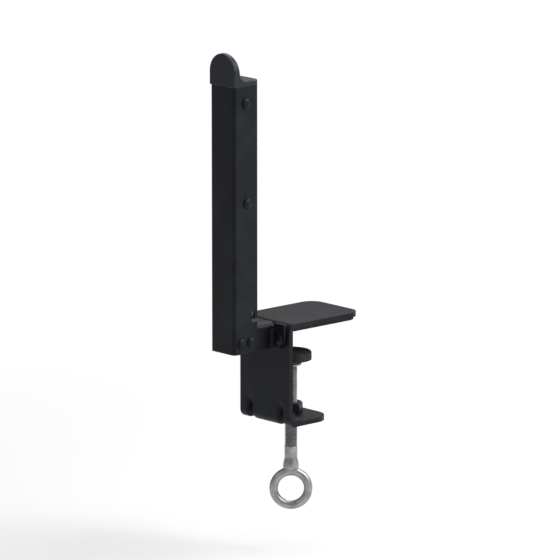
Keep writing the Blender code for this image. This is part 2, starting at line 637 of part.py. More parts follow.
def make_retaining_clip():
    """An open ring of spring steel that snaps into the screw's groove, under the arm's top plate."""
    inner = TENSION_RADIUS - CLIP_GROOVE + HOLE_GAP
    inner_turn = CLIP_OPENING / 2
    outer_turn = math.asin(inner / CLIP_RADIUS * math.sin(inner_turn))  # the opening's sides are parallel
    front = math.pi / 2
    top = ARM_PLATE - SEAT_GAP
    outline = arc((0, TENSION_Y), CLIP_RADIUS, front + outer_turn, front + math.tau - outer_turn)
    outline += arc((0, TENSION_Y), inner, front + math.tau - inner_turn, front + inner_turn)
    return plate("retaining_clip", outline, "Z", top - CLIP_THICKNESS, top, PIECES, ZINC)


def make_wheel_spacer():
    bore, outer = BORE_TENSION, BORE_TENSION + SPACER_WALL
    profile = [(outer, SPACER_LENGTH), (outer, 0), (bore, 0), (bore, SPACER_LENGTH)]
    return turned("wheel_spacer", profile, (0, TENSION_Y, SPACER_FOOT), PIECES, ZINC, closed=True,
                  steps=SMALL_STEPS)


def make_thumbwheel():
    """A moulded wheel with a ribbed rim, turned by a finger through the open side of the post."""
    steps = WHEEL_RIBS * RIB_STEPS
    outline = []
    for step in range(steps):
        angle = math.tau * step / steps
        radius = WHEEL_RADIUS - WHEEL_RIB_DEPTH * (1 - math.cos(WHEEL_RIBS * angle)) / 2
        outline.append(Vector((radius * math.cos(angle), TENSION_Y + radius * math.sin(angle))))
    wheel = plate("thumbwheel", outline, "Z", WHEEL_FOOT, WHEEL_FOOT + WHEEL_THICKNESS, PIECES, PLASTIC,
                  [circle((0, TENSION_Y), BORE_TENSION)])
    rim, wide = WHEEL_RADIUS - WHEEL_BEVEL, WHEEL_RADIUS + PAST
    slope = wide - rim
    barrel = [(0, WHEEL_THICKNESS + PAST), (rim, WHEEL_THICKNESS + PAST), (rim, WHEEL_THICKNESS),
              (wide, WHEEL_THICKNESS - slope), (wide, slope), (rim, 0), (rim, -PAST), (0, -PAST)]
    shape(wheel, turned("wheel_barrel", barrel, (0, TENSION_Y, WHEEL_FOOT), CUTTERS), "INTERSECT")
    hub, dish_edge = BORE_TENSION + WHEEL_HUB, WHEEL_RADIUS - WHEEL_RIM
    for low, high in ((WHEEL_THICKNESS - WHEEL_DISH, WHEEL_THICKNESS + PAST), (-PAST, WHEEL_DISH)):
        ring = [(dish_edge, high), (dish_edge, low), (hub, low), (hub, high)]
        dish = turned("wheel_dish", ring, (0, TENSION_Y, WHEEL_FOOT), CUTTERS, closed=True)
        shape(wheel, dish, "DIFFERENCE")
    return wheel


def make_cord_slider():
    """A cast block that the screw draws along the channel. It can't turn between the channel's sides."""
    half = POST_INSIDE - SLIDE_GAP
    low = (-half, SLIDER_BACK, SLIDER_FOOT)
    high = (half, TENSION_Y + BORE_TENSION + SLIDER_WALL, SLIDER_FOOT + SLIDER_HEIGHT)
    slider = block("cord_slider", low, high, SLIDER_EDGE, PIECES, ZINC)
    middle = SLIDER_FOOT + SLIDER_HEIGHT / 2
    drill(slider, "Z", (0, TENSION_Y, middle), BORE_TENSION, SLIDER_HEIGHT + 2 * PAST)
    drill(slider, "Z", (HOOK_RADIUS, HOOK_Y, middle), HOOK_WIRE + HOLE_GAP, SLIDER_HEIGHT + 2 * PAST)
    return slider


def make_cord_hook():
    """A bent wire set in the slider. The upper cord's loop hangs in its crook."""
    foot = SLIDER_FOOT + HOOK_SEAT
    bend = foot + HOOK_SHANK
    path = [Vector((HOOK_RADIUS, foot)), Vector((HOOK_RADIUS, (foot + bend) / 2))]
    path += arc((0, bend), HOOK_RADIUS, 0, math.pi)
    path.append(Vector((-HOOK_RADIUS, bend - HOOK_TIP)))
    curve = bpy.data.curves.new("cord_hook", "CURVE")
    curve.dimensions = "3D"
    curve.bevel_depth = HOOK_WIRE
    curve.bevel_resolution = 2
    curve.use_fill_caps = True
    spline = curve.splines.new("POLY")
    spline.points.add(len(path) - 1)
    for point, (x, z) in zip(spline.points, path):
        point.co = (x, HOOK_Y, z, 1)
    return place("cord_hook", curve, PIECES, ZINC)


# The clamp screw and its disc

def make_clamp_screw():
    """A threaded rod with a forged ring at the foot. Its spigot is peened over inside the disc."""
    peen_foot = HUB_TOP + SEAT_GAP
    peen_top = peen_foot + PEEN_HEIGHT
    collar = SCREW_RADIUS + FLARE
    swell = RING_TOP + (NECK_LENGTH + COLLAR_LENGTH) / 2
    spigot = [(0, peen_top), (PEEN_RADIUS - SCREW_CHAMFER, peen_top), (PEEN_RADIUS, peen_top - SCREW_CHAMFER),
              (PEEN_RADIUS, peen_foot), (SPIGOT_RADIUS, peen_foot), (SPIGOT_RADIUS, SHOULDER)]
    shank = [(SCREW_RADIUS - SCREW_CHAMFER, SHOULDER), (SCREW_RADIUS, SHOULDER - SCREW_CHAMFER),
             (SCREW_RADIUS, RING_TOP + NECK_LENGTH)]
    neck = [(collar - FLARE / 2, swell), (collar, RING_TOP + COLLAR_LENGTH),
            (collar - FLARE / 2, RING_TOP - FLARE / 2), (RING_WIRE, RING_TOP - RING_WIRE),
            (0, RING_TOP - RING_WIRE)]
    screw = turned("clamp_screw", spigot + shank + neck, (0, 0, 0), PIECES, ZINC)
    wire = circle((RING_RADIUS, 0), RING_WIRE, WIRE_STEPS)
    ring = turned("screw_ring", list(reversed(wire)), (0, 0, RING_Z), CUTTERS, closed=True, steps=RING_STEPS)
    ring.rotation_euler = (math.pi / 2, 0, RING_TURN)
    shape(screw, ring, "UNION")
    return screw


def make_swivel_disc():
    """A dished steel disc. It turns freely on the screw's spigot, so the board isn't scratched."""
    rim_under = RIM_TOP - DISC_STEEL
    bore = SPIGOT_RADIUS + HOLE_GAP
    well = PEEN_RADIUS + 2 * SLIDE_GAP
    flange = well + DISC_DISH
    profile = [(DISC_RADIUS, RIM_TOP), (DISC_RADIUS, rim_under), (flange - DISC_STEEL / 4, rim_under),
               (well + DISC_STEEL / 2, HUB_UNDER), (bore, HUB_UNDER), (bore, HUB_TOP), (well, HUB_TOP),
               (flange, RIM_TOP)]
    return turned("swivel_disc", profile, (0, 0, 0), PIECES, ZINC, closed=True)


def make_disc_cap():
    """A rubber cap stretched over the disc. Its lip grips under the rim."""
    inner = DISC_RADIUS + SEAT_GAP
    outer = inner + CAP_WALL
    lip_top = RIM_TOP - DISC_STEEL - SEAT_GAP
    lip_edge = inner - LIP_REACH
    profile = [(0, DISC_TOP), (outer - CAP_EDGE, DISC_TOP), (outer, DISC_TOP - CAP_EDGE),
               (outer, lip_top - CAP_LIP), (lip_edge, lip_top - CAP_LIP), (lip_edge, lip_top),
               (inner, lip_top), (inner, DISC_TOP - CAP_SKIN), (0, DISC_TOP - CAP_SKIN)]
    return turned("disc_cap", profile, (0, 0, 0), PIECES, RUBBER)


def make_spigot_washer():
    bore = SPIGOT_RADIUS + HOLE_GAP
    low = WASHER_TOP - WASHER_THICKNESS
    profile = [(WASHER_RADIUS, WASHER_TOP), (WASHER_RADIUS, low), (bore, low), (bore, WASHER_TOP)]
    return turned("spigot_washer", profile, (0, 0, 0), PIECES, ZINC, closed=True)


clear_scene()
PIECES = new_collection("table_tennis_net_clamp")
CUTTERS = new_collection("cutters")
PAINT = material("black_paint", (0.012, 0.013, 0.016), 0.42, 0.0)
PLASTIC = material("black_plastic", (0.02, 0.022, 0.03), 0.5, 0.0)
ZINC = material("zinc_plate", (0.55, 0.56, 0.57), 0.35, 1.0)
RUBBER = material("black_rubber", (0.03, 0.03, 0.032), 0.8, 0.0)

make_clamp_frame()
make_jaw_pad()
make_weld_nut()
make_post_arm()
make_net_post()
make_post_rivets()
make_arm_rivets()
make_post_cap()
make_roller_pin()
make_screw_bridge()
make_bridge_rivets()

axis_empty("roller_axis", (0, ROLLER_Y, ROLLER_Z), [make_cord_roller()])
axis_empty("slider_axis", (0, TENSION_Y, SLIDER_FOOT), [make_cord_slider(), make_cord_hook()])
axis_empty("tension_axis", (0, TENSION_Y, WHEEL_FOOT),
           [make_tension_screw(), make_retaining_clip(), make_wheel_spacer(), make_thumbwheel()])
axis_empty("disc_axis", (0, 0, DISC_TOP), [make_swivel_disc(), make_disc_cap(), make_spigot_washer()])
axis_empty("screw_axis", (0, 0, SHOULDER), [make_clamp_screw()])
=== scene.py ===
# %% [markdown]
# # A net clamp for table tennis
# A bent steel frame grips the edge of a board, and a steel channel beside it holds and tightens two
# cords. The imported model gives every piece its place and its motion. This notebook gives the pieces
# their finer form, such as rounded edges, threads and ribs, and their finishes.
#
# Lengths are in metres. X runs along the board's edge, Y inwards over the board and Z up. The
# origin is on the clamp screw's axis, at the height of the board's top.

# %% Load the frame
import math
from contextlib import contextmanager

import bmesh
import bpy
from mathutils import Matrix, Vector


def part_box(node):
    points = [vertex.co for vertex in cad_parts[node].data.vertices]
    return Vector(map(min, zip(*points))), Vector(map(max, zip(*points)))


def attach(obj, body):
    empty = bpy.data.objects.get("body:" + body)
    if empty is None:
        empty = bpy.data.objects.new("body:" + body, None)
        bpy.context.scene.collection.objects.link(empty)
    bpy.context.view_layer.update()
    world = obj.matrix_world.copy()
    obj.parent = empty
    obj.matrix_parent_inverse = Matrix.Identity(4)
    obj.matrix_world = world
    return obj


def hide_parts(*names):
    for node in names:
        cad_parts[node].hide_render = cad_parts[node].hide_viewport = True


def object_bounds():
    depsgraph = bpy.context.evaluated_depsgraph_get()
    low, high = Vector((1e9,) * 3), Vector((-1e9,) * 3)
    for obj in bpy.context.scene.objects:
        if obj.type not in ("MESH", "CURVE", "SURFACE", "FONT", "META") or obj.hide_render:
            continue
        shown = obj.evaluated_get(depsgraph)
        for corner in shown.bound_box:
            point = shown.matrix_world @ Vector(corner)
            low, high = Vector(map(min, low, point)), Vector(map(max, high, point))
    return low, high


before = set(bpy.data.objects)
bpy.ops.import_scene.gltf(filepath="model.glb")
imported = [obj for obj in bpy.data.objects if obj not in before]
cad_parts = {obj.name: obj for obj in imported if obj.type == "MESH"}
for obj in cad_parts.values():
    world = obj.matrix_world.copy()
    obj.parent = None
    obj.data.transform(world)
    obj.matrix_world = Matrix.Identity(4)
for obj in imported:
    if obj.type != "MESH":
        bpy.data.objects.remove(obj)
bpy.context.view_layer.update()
MM = 0.001

# %% [markdown]
# ## Camera
# The photograph shows the clamp from 48 degrees to the right of straight on, from a little above,
# and from 3.7 m away. A long lens at that same distance keeps the flat perspective of the
# photograph, while the clamp fills the picture. Moving the camera closer would also fill the
# picture, but the near edges would then spread more than the photograph shows.

# %% Make the camera
PHOTO_AZIMUTH = math.radians(47.5)
PHOTO_ELEVATION = math.radians(12)
PHOTO_DISTANCE = 3.65
SHOWN_HEIGHT = 0.345
SENSOR_WIDTH = 0.036
FURTHEST_SEEN = 20

low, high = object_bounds()
middle = (low + high) / 2


def bearing(azimuth, elevation):
    """The direction from the clamp to a camera or a lamp."""
    across = math.cos(elevation)
    return Vector((math.sin(azimuth) * across, -math.cos(azimuth) * across, math.sin(elevation)))


def facing_back(direction):
    """The rotation of a camera or a lamp that looks back along its bearing."""
    return (-direction).to_track_quat("-Z", "Y").to_euler()


photo_bearing = bearing(PHOTO_AZIMUTH, PHOTO_ELEVATION)
bpy.ops.object.camera_add(location=middle + photo_bearing * PHOTO_DISTANCE,
                          rotation=facing_back(photo_bearing))
camera = bpy.context.object
camera.data.lens = SENSOR_WIDTH * PHOTO_DISTANCE / SHOWN_HEIGHT / MM
camera.data.clip_end = FURTHEST_SEEN
bpy.context.scene.camera = camera
print(f"lens {camera.data.lens:.0f} mm")

# %% [markdown]
# ## Floor and lamps
# A pale floor and soft lamps show the form of a black object by the broad sheen on it. The floor
# lies just below the lowest place that the ring reaches when the screw is wound down. In the
# photograph the post's right side is lighter than its outer face, so the large lamp stands on the
# right. A lamp behind draws a bright line along the edges, which a black piece needs. One strong
# lamp would be simpler, but black paint shows only what it mirrors, and a small lamp is a small spot.

# %% Make the floor and the lamps
RING_TRAVEL = 23 * MM
FLOOR_GAP = 6 * MM
FLOOR_SIZE = 30

floor_height = low.z - RING_TRAVEL - FLOOR_GAP
bpy.ops.mesh.primitive_plane_add(size=FLOOR_SIZE, location=(0, 0, floor_height))
floor = bpy.context.object
floor.name = "floor"


def soft_lamp(name, azimuth, elevation, distance, size, watts):
    """A square lamp that looks at the clamp. Its azimuth is counted in degrees from the camera's."""
    direction = bearing(PHOTO_AZIMUTH + math.radians(azimuth), math.radians(elevation))
    bpy.ops.object.light_add(type="AREA", location=middle + direction * distance,
                             rotation=facing_back(direction))
    lamp = bpy.context.object
    lamp.name = name
    lamp.data.size = size
    lamp.data.energy = watts


soft_lamp("key_lamp", azimuth=80, elevation=36, distance=1.3, size=0.9, watts=18)
soft_lamp("fill_lamp", azimuth=-45, elevation=30, distance=1.5, size=0.8, watts=2.5)
soft_lamp("back_lamp", azimuth=165, elevation=48, distance=1.4, size=0.8, watts=8)
soft_lamp("top_lamp", azimuth=0, elevation=80, distance=1.4, size=1.1, watts=6)
print("floor at", round(floor_height, 4))

# %% [markdown]
# ## Writing shader maths as Python
# A finish is a small program. The classes below let it be written as one: `Shader.node` adds any
# node and gives back its output, and `Wire` turns `+`, `-` and `*` on such outputs into Math nodes.
# `Shader` holds what a material and the world have in common. A line of code for each link would
# do the same, but it hides the formula that the links stand for.

# %% Helpers for materials
NOISE_ROUGHNESS = 0.55
# A Mix node has sockets for numbers, vectors and colours side by side. These are the colours' own.
MIX_FACTOR, MIX_FIRST, MIX_SECOND, MIX_RESULT = 0, 6, 7, 2


def math_operator(operation):
    """The plain and the reflected form of one operator, so that 1 - wire works too."""
    def plain(self, other):
        return self.finish.node("ShaderNodeMath", {"operation": operation}, {0: self, 1: other})

    def reflected(self, other):
        return self.finish.node("ShaderNodeMath", {"operation": operation}, {0: other, 1: self})

    return plain, reflected


class Wire:
    """An output socket of a finish."""

    def __init__(self, finish, socket):
        self.finish = finish
        self.socket = socket

    __add__, __radd__ = math_operator("ADD")
    __sub__, __rsub__ = math_operator("SUBTRACT")
    __mul__, __rmul__ = math_operator("MULTIPLY")

    def between(self, start, end):
        """0 below start, 1 above end, and a smooth step between them. Start may be the larger."""
        settings = {"interpolation_type": "SMOOTHSTEP"}
        return self.finish.node("ShaderNodeMapRange", settings, {0: self, 1: start, 2: end})


class Shader:
    """A node tree with one shader, and the nodes that feed it."""

    def __init__(self, owner, shader_name):
        owner.use_nodes = True
        self.tree = owner.node_tree
        self.shader = self.tree.nodes[shader_name]

    def set(self, socket, value):
        self.feed(self.shader.inputs[socket], value)

    def node(self, kind, settings=None, sockets=None, out=0):
        """Any node: its type, its settings, the values or links of its sockets, and its output."""
        made = self.tree.nodes.new(kind)
        for name, value in (settings or {}).items():
            setattr(made, name, value)
        for key, value in (sockets or {}).items():
            self.feed(made.inputs[key], value)
        return Wire(self, made.outputs[out])

    def feed(self, socket, value):
        if isinstance(value, Wire):
            self.tree.links.new(value.socket, socket)
        else:
            socket.default_value = value

    def ray(self, kind):
        """1 for the rays of one kind, such as Camera or Glossy, and 0 for the others."""
        return self.node("ShaderNodeLightPath", out=f"Is {kind} Ray")


class Finish(Shader):
    """A material of one Principled shader. Its slot, the record's name for it, is kept but not used.
    Values that are the same all over are given by name."""

    def __init__(self, name, slot=None, **constant):
        self.material = bpy.data.materials.new(name)
        self.slot = slot
        super().__init__(self.material, "Principled BSDF")
        for socket, value in constant.items():
            self.shader.inputs[socket.replace("_", " ")].default_value = value
        self.place = self.node("ShaderNodeTexCoord", out="Object")

    def noise(self, size, detail=2, place=None):
        """A cloudy pattern whose spots are about this size in metres, from 0 to 1."""
        sockets = {"Vector": place or self.place, "Scale": 1 / size, "Detail": detail,
                   "Roughness": NOISE_ROUGHNESS}
        return self.node("ShaderNodeTexNoise", None, sockets)

    def stretched(self, x, y, z):
        """The place on the object, drawn out or squeezed along each axis."""
        return self.node("ShaderNodeMapping", None, {"Vector": self.place, "Scale": (x, y, z)})

    def axis(self, name):
        return self.node("ShaderNodeSeparateXYZ", None, {0: self.place}, name)

    def length(self, place):
        return self.node("ShaderNodeVectorMath", {"operation": "LENGTH"}, {0: place}, "Value")

    def edge(self):
        """1 on the faces of a rounded edge, and 0 elsewhere."""
        return self.node("ShaderNodeAttribute", {"attribute_name": "edge"}, None, "Fac")

    def blend(self, share, first, second):
        """A mix of two colours."""
        sockets = {MIX_FACTOR: share, MIX_FIRST: first, MIX_SECOND: second}
        return self.node("ShaderNodeMix", {"data_type": "RGBA"}, sockets, MIX_RESULT)

    def relief(self, *layers):
        """Bump from layers of (height from 0 to 1, depth in metres)."""
        height = sum(wire * (depth / MM) for wire, depth in layers)
        self.set("Normal", self.node("ShaderNodeBump", None, {"Height": height, "Distance": MM}))


print("Finish and Wire are ready")

# %% [markdown]
# ### Stage material and world
# A white floor that reaches the horizon would need strong lamps far away, and they would light the
# clamp too much. So the floor is a pale grey near the clamp, where it takes the shadow, and further
# off it fades into pure white for the rays that come from the camera. Light Path's outputs tell
# those rays apart. The world does the same above the horizon. Mirror rays see it at 0.3 of that
# strength, because black paint that mirrors a white room on all sides turns a flat grey.

# %% Colour the stage
WHITE, PALE_GREY, BLACK = (1, 1, 1, 1), (0.80, 0.80, 0.80, 1), (0, 0, 0, 1)
FADE_START, FADE_END = 0.15, 0.8
WORLD_LIGHT = 0.30
MIRRORED_SHARE = 0.3

paper = Finish("floor_paper", Roughness=0.9, Emission_Strength=1)
floor.data.materials.append(paper.material)
far = paper.length(paper.place).between(FADE_START, FADE_END)
fade = far * (paper.ray("Camera") + paper.ray("Glossy") * MIRRORED_SHARE)
paper.set("Base Color", paper.blend(fade, PALE_GREY, BLACK))
paper.set("Emission Color", paper.blend(fade, BLACK, WHITE))

world = bpy.data.worlds.new("studio")
bpy.context.scene.world = world
sky = Shader(world, "Background")
seen, glossy = sky.ray("Camera"), sky.ray("Glossy")
sky.set("Color", WHITE)
sky.set("Strength", seen + glossy * MIRRORED_SHARE + (1 - seen - glossy) * WORLD_LIGHT)
bpy.context.scene.view_settings.view_transform = "Standard"
print("stage coloured")

# %% [markdown]
# ## Finishes
# ** Powder coat.** Paint that was sprayed on as powder and baked flows out into a very fine orange
# peel, a little softer in its gloss where dust settled in it. Handling rubs the rounded edges
# first, so the wear is drawn only on the faces of the edges, in patches. Its lighter colour there
# is also a painted highlight along the edges. A painted picture could show all this too, but
# noise that reads Object coordinates needs no unwrapping and has no seams.

# %% Powder coat
BLACK_PAINT = (0.0040, 0.0050, 0.0085, 1)
DUSTY_PAINT = (0.0085, 0.0097, 0.0140, 1)
RUBBED_PAINT_AND_HIGHLIGHT = (0.060, 0.062, 0.068, 1)
PAINT_ROUGHNESS = 0.38
HANDLED_DULLER = 0.16
RUBBED_SMOOTHER = 0.06
PEEL_DEPTH = 0.022 * MM
SPECK_DEPTH = 0.004 * MM

powder_coat = Finish("black_powder_coat", "black_paint", IOR=1.5, Specular_IOR_Level=0.17)
peel = powder_coat.noise(0.9 * MM, 1)
specks = powder_coat.noise(0.16 * MM, 2)
handled = powder_coat.noise(19 * MM, 4)
scuffs = powder_coat.noise(3.2 * MM, 3, powder_coat.stretched(0.16, 1, 1)).between(0.60, 0.72)
# Painted highlight: the rounded edges get a lighter colour, partly as rubbed paint and partly as a highlight.
rubbed_and_highlit = powder_coat.edge() * powder_coat.noise(11 * MM, 6).between(0.53, 0.66)
dusty = powder_coat.blend(handled.between(0.42, 0.68), BLACK_PAINT, DUSTY_PAINT)
duller = (handled + scuffs * handled) * HANDLED_DULLER
powder_coat.set("Base Color", powder_coat.blend(rubbed_and_highlit * 0.75, dusty, RUBBED_PAINT_AND_HIGHLIGHT))
powder_coat.set("Roughness", PAINT_ROUGHNESS + duller - rubbed_and_highlit * RUBBED_SMOOTHER)
powder_coat.relief((peel, PEEL_DEPTH), (specks, SPECK_DEPTH))
print("powder coat:", len(powder_coat.tree.nodes), "nodes")

# %% [markdown]
# ** Moulding.** The cap, the roller and the wheel come out of a spark-eroded mould, whose fine
# grain scatters the light. Edges that hands and cord rub turn smoother and a little glossier, and
# they are drawn lighter as a painted sheen. The grain is bump and not geometry, because it is
# finer than any mesh of these pieces.

# %% Moulded plastic
BLACK_PLASTIC = (0.0095, 0.0115, 0.0185, 1)
WORN_PLASTIC_AND_SHEEN = (0.024, 0.028, 0.040, 1)
PLASTIC_ROUGHNESS = 0.44
POLISH = 0.12
GRAIN_DEPTH = 0.030 * MM

moulding = Finish("black_moulding", "black_plastic", IOR=1.46, Specular_IOR_Level=0.28)
grain = moulding.noise(0.33 * MM, 3)
flow = moulding.noise(11 * MM, 2)
# Painted sheen: the rubbed edges are drawn in the lighter colour, as well as made smoother.
polished_and_sheen = moulding.edge() * moulding.noise(3 * MM, 2).between(0.35, 0.6)
moulding.set("Base Color", moulding.blend(flow * 0.4 + polished_and_sheen * 0.5, BLACK_PLASTIC, WORN_PLASTIC_AND_SHEEN))
moulding.set("Roughness", PLASTIC_ROUGHNESS + (flow - polished_and_sheen) * POLISH)
moulding.relief((grain, GRAIN_DEPTH))
print("moulding:", len(moulding.tree.nodes), "nodes")

# %% [markdown]
# ** Zinc.** A dull bright plating: a metal, slightly cloudy and finely pitted. On the screws the
# roots of the thread are drawn dark, as old grease and as painted shade, while the crests are
# rubbed bright. One finish for all would need a mask painted on each screw. So those two screws
# have their own finish, which reads how far a point is from the screw's axis.

# %% Zinc plate
BRIGHT_ZINC = (0.38, 0.383, 0.388, 1)
CLOUDED_ZINC = (0.27, 0.274, 0.282, 1)
GREASE_AND_SHADE = (0.115, 0.110, 0.102, 1)
ZINC_ROUGHNESS = 0.33
PIT_DEPTH = 0.010 * MM
CLOUD_DEPTH = 0.008 * MM


def zinc_finish(name):
    """Plain zinc plate, with its colour and roughness, for a finish that adds to them."""
    made = Finish(name, "zinc_plate")
    cloud = made.noise(5.5 * MM, 4)
    pits = made.noise(0.42 * MM, 3)
    colour = made.blend(cloud.between(0.36, 0.66), BRIGHT_ZINC, CLOUDED_ZINC)
    rough = ZINC_ROUGHNESS + cloud * 0.17 - made.edge() * 0.06
    made.set("Base Color", colour)
    made.set("Metallic", 1)
    made.set("Roughness", rough)
    made.relief((pits, PIT_DEPTH), (cloud, CLOUD_DEPTH))
    return made, colour, rough


def threaded_zinc(name, axis_y, root, crest, thread_foot):
    """Zinc plate with grease and painted shade in the roots of a thread round an upright axis."""
    made, colour, rough = zinc_finish(name)
    across = made.node("ShaderNodeCombineXYZ", None, {0: made.axis("X"), 1: made.axis("Y") - axis_y})
    in_thread = made.axis("Z").between(thread_foot - MM / 2, thread_foot + MM / 2)
    depth = made.length(across).between(crest - 0.1 * MM, root)
    # Painted shade and grease: darker and less metallic deep in the thread, nearer the axis.
    grease_and_shade = depth * in_thread * (0.55 + made.noise(4 * MM, 3) * 0.45)
    made.set("Base Color", made.blend(grease_and_shade * 0.75, colour, GREASE_AND_SHADE))
    made.set("Metallic", 1 - grease_and_shade * 0.6)
    made.set("Roughness", rough + grease_and_shade * 0.2)
    return made


zinc_plate = zinc_finish("zinc_plate")[0]
print("zinc:", len(zinc_plate.tree.nodes), "nodes")

# %% [markdown]
# **Rubber.** The two faces that touch the board are matt, with a fine tooth and a little pale
# bloom where they aren't rubbed. A plain dark grey would pass for rubber from afar, but close by
# the bloom is what tells it from plastic.

# %% Rubber
BLACK_RUBBER = (0.012, 0.012, 0.013, 1)
BLOOM = (0.036, 0.036, 0.035, 1)
RUBBER_ROUGHNESS = 0.70
TOOTH_DEPTH = 0.03 * MM

rubber = Finish("black_rubber", "black_rubber", IOR=1.45, Specular_IOR_Level=0.3)
bloom = rubber.noise(6 * MM, 4)
rubber.set("Base Color", rubber.blend(bloom.between(0.45, 0.75) * 0.8, BLACK_RUBBER, BLOOM))
rubber.set("Roughness", RUBBER_ROUGHNESS + bloom * 0.2)
rubber.relief((rubber.noise(0.28 * MM, 3), TOOTH_DEPTH))
print("rubber:", len(rubber.tree.nodes), "nodes")

# %% [markdown]
# ## Modelling by operators
# Each piece starts as a primitive and is shaped with the operators of edit mode. An operator acts
# on what is selected, so `pick` selects faces, edges or points by a rule on their place and their
# direction, in the way that a modeller would click on them. Listing the numbers of the faces would
# be shorter, but the numbers change with each edit before them.

# %% Helpers for selecting
QUARTER = math.pi / 2
ALIGNED = 0.9
MERGE_BELOW = 0.001 * MM


def only(obj):
    """Makes this the one object that is selected."""
    bpy.ops.object.select_all(action="DESELECT")
    obj.select_set(True)
    bpy.context.view_layer.objects.active = obj


@contextmanager
def editing(obj):
    only(obj)
    bpy.ops.object.mode_set(mode="EDIT")
    bpy.ops.mesh.select_mode(type="VERT")
    bpy.ops.mesh.select_all(action="DESELECT")
    yield
    bpy.ops.object.mode_set(mode="OBJECT")


def anywhere(at, direction):
    return True


def pick(kind, rule, rim=False):
    """In edit mode, selects each "FACE", "EDGE" or "VERT" for which rule(middle, direction) is true.
    The direction is a face's or a point's normal, and an edge's own direction. With rim, only edges
    that have a face on one side are looked at."""
    bpy.ops.mesh.select_mode(type=kind)
    bpy.ops.mesh.select_all(action="DESELECT")
    mesh = bmesh.from_edit_mesh(bpy.context.object.data)
    if kind == "FACE":
        found = [(f, f.calc_center_median(), f.normal) for f in mesh.faces]
    elif kind == "EDGE":
        found = [(e, (e.verts[0].co + e.verts[1].co) / 2, (e.verts[1].co - e.verts[0].co).normalized())
                 for e in mesh.edges if e.is_boundary or not rim]
    else:
        found = [(v, v.co, v.normal) for v in mesh.verts]
    for item, middle, direction in found:
        if rule(middle, direction):
            item.select_set(True)
    mesh.select_flush_mode()
    bmesh.update_edit_mesh(bpy.context.object.data)


def near(value, target, reach=0.02 * MM):
    return abs(value - target) < reach


def points(direction, axis):
    """Whether a direction points along an axis such as X or -Z."""
    sign = -1 if axis.startswith("-") else 1
    return sign * direction["XYZ".index(axis[-1])] > ALIGNED


def runs(direction, axis):
    """Whether a direction runs along an axis, either way."""
    return points(direction, axis) or points(direction, "-" + axis)


def lying(axis=None, **places):
    """A rule for what lies at the places given, such as z=0, and runs along the axis, if one is given."""
    def rule(at, along):
        is_there = all(near(getattr(at, name), place) for name, place in places.items())
        return is_there and (axis is None or runs(along, axis))

    return rule


print("selecting helpers are ready")

# %% [markdown]
# The next helpers are the steps themselves. Most of them are one operator or one modifier with the
# settings that fit this object. A bevel's width is the same all over a piece, as wear and paint make
# it on real steel, and its faces are marked, so that a finish can tell them from the rest.

# %% Helpers for shaping
ROUND_STEPS, FINE_STEPS, HOLE_STEPS = 64, 96, 32
BENT_STEPS = 8
TO_AXIS = {"Z": (0, 0, 0), "-Z": (math.pi, 0, 0), "X": (0, QUARTER, 0), "-X": (0, -QUARTER, 0),
           "Y": (-QUARTER, 0, 0), "-Y": (QUARTER, 0, 0)}


def start(name, primitive, scale=(1, 1, 1), **settings):
    """A new primitive with its place and size in its mesh."""
    bpy.ops.object.select_all(action="DESELECT")
    primitive(**settings)
    obj = bpy.context.object
    obj.name = obj.data.name = name
    obj.scale = scale
    bpy.ops.object.transform_apply(location=True, rotation=True, scale=True)
    return obj


def extrude(x=0, y=0, z=0):
    bpy.ops.mesh.extrude_region_move(TRANSFORM_OT_translate={"value": (x, y, z)})


def spin(angle, centre, axis, steps=BENT_STEPS):
    """Sweeps the selection round an axis. The operator counts its angle clockwise, so the sign is turned."""
    bpy.ops.mesh.spin(steps=steps, angle=-angle, center=centre, axis=axis)


def slice_at(axis, places, rule=anywhere):
    """Cuts the faces that pass the rule along planes square to an axis."""
    for place in places:
        pick("FACE", rule)
        point, normal = Vector(), Vector()
        point["XYZ".index(axis)], normal["XYZ".index(axis)] = place, 1
        bpy.ops.mesh.bisect(plane_co=point, plane_no=normal)


def round_corners(offset, segments, rule, kind="EDGE"):
    """Bevels the edges, or the points, that pass the rule."""
    pick(kind, rule)
    affect = "EDGES" if kind == "EDGE" else "VERTICES"
    bpy.ops.mesh.bevel(offset=offset, segments=segments, affect=affect, clamp_overlap=True)


def tidy_mesh(obj):
    """Merges doubles and turns all normals outwards."""
    with editing(obj):
        bpy.ops.mesh.select_all(action="SELECT")
        bpy.ops.mesh.remove_doubles(threshold=MERGE_BELOW)
        bpy.ops.mesh.normals_make_consistent(inside=False)


def apply_modifier(obj, kind, **settings):
    only(obj)
    made = obj.modifiers.new(kind.lower(), kind)
    for name, value in settings.items():
        setattr(made, name, value)
    bpy.ops.object.modifier_apply(modifier=made.name)


def combine(obj, tool, operation="DIFFERENCE"):
    """A Boolean with a tool, which is used up."""
    tidy_mesh(tool)
    apply_modifier(obj, "BOOLEAN", operation=operation, object=tool, solver="EXACT")
    bpy.data.objects.remove(tool)


def place_piece(obj, place, turned=(0, 0, 0)):
    """Moves and turns a finished mesh, and keeps its object at the origin."""
    obj.location, obj.rotation_euler = place, turned
    only(obj)
    bpy.ops.object.transform_apply(location=True, rotation=True, scale=True)


def turn(name, profile, place=(0, 0, 0), axis="Z", segments=ROUND_STEPS):
    """A turned piece: a disc that is extruded and scaled through each (radius, height) of its profile.
    A profile that comes back to its first point makes a ring, and any other is closed by discs."""
    fill = "NOTHING" if profile[0] == profile[-1] else "NGON"
    radius, height = profile[0]
    obj = start(name, bpy.ops.mesh.primitive_circle_add, vertices=segments, radius=radius,
                location=(0, 0, height), fill_type=fill)
    with editing(obj):
        bpy.ops.mesh.select_all(action="SELECT")
        for (radius, height), (next_radius, next_height) in zip(profile, profile[1:]):
            extrude(z=next_height - height)
            share = next_radius / radius
            bpy.ops.transform.resize(value=(share, share, 1), center_override=(0, 0, next_height))
    place_piece(obj, place, TO_AXIS[axis])
    tidy_mesh(obj)
    return obj


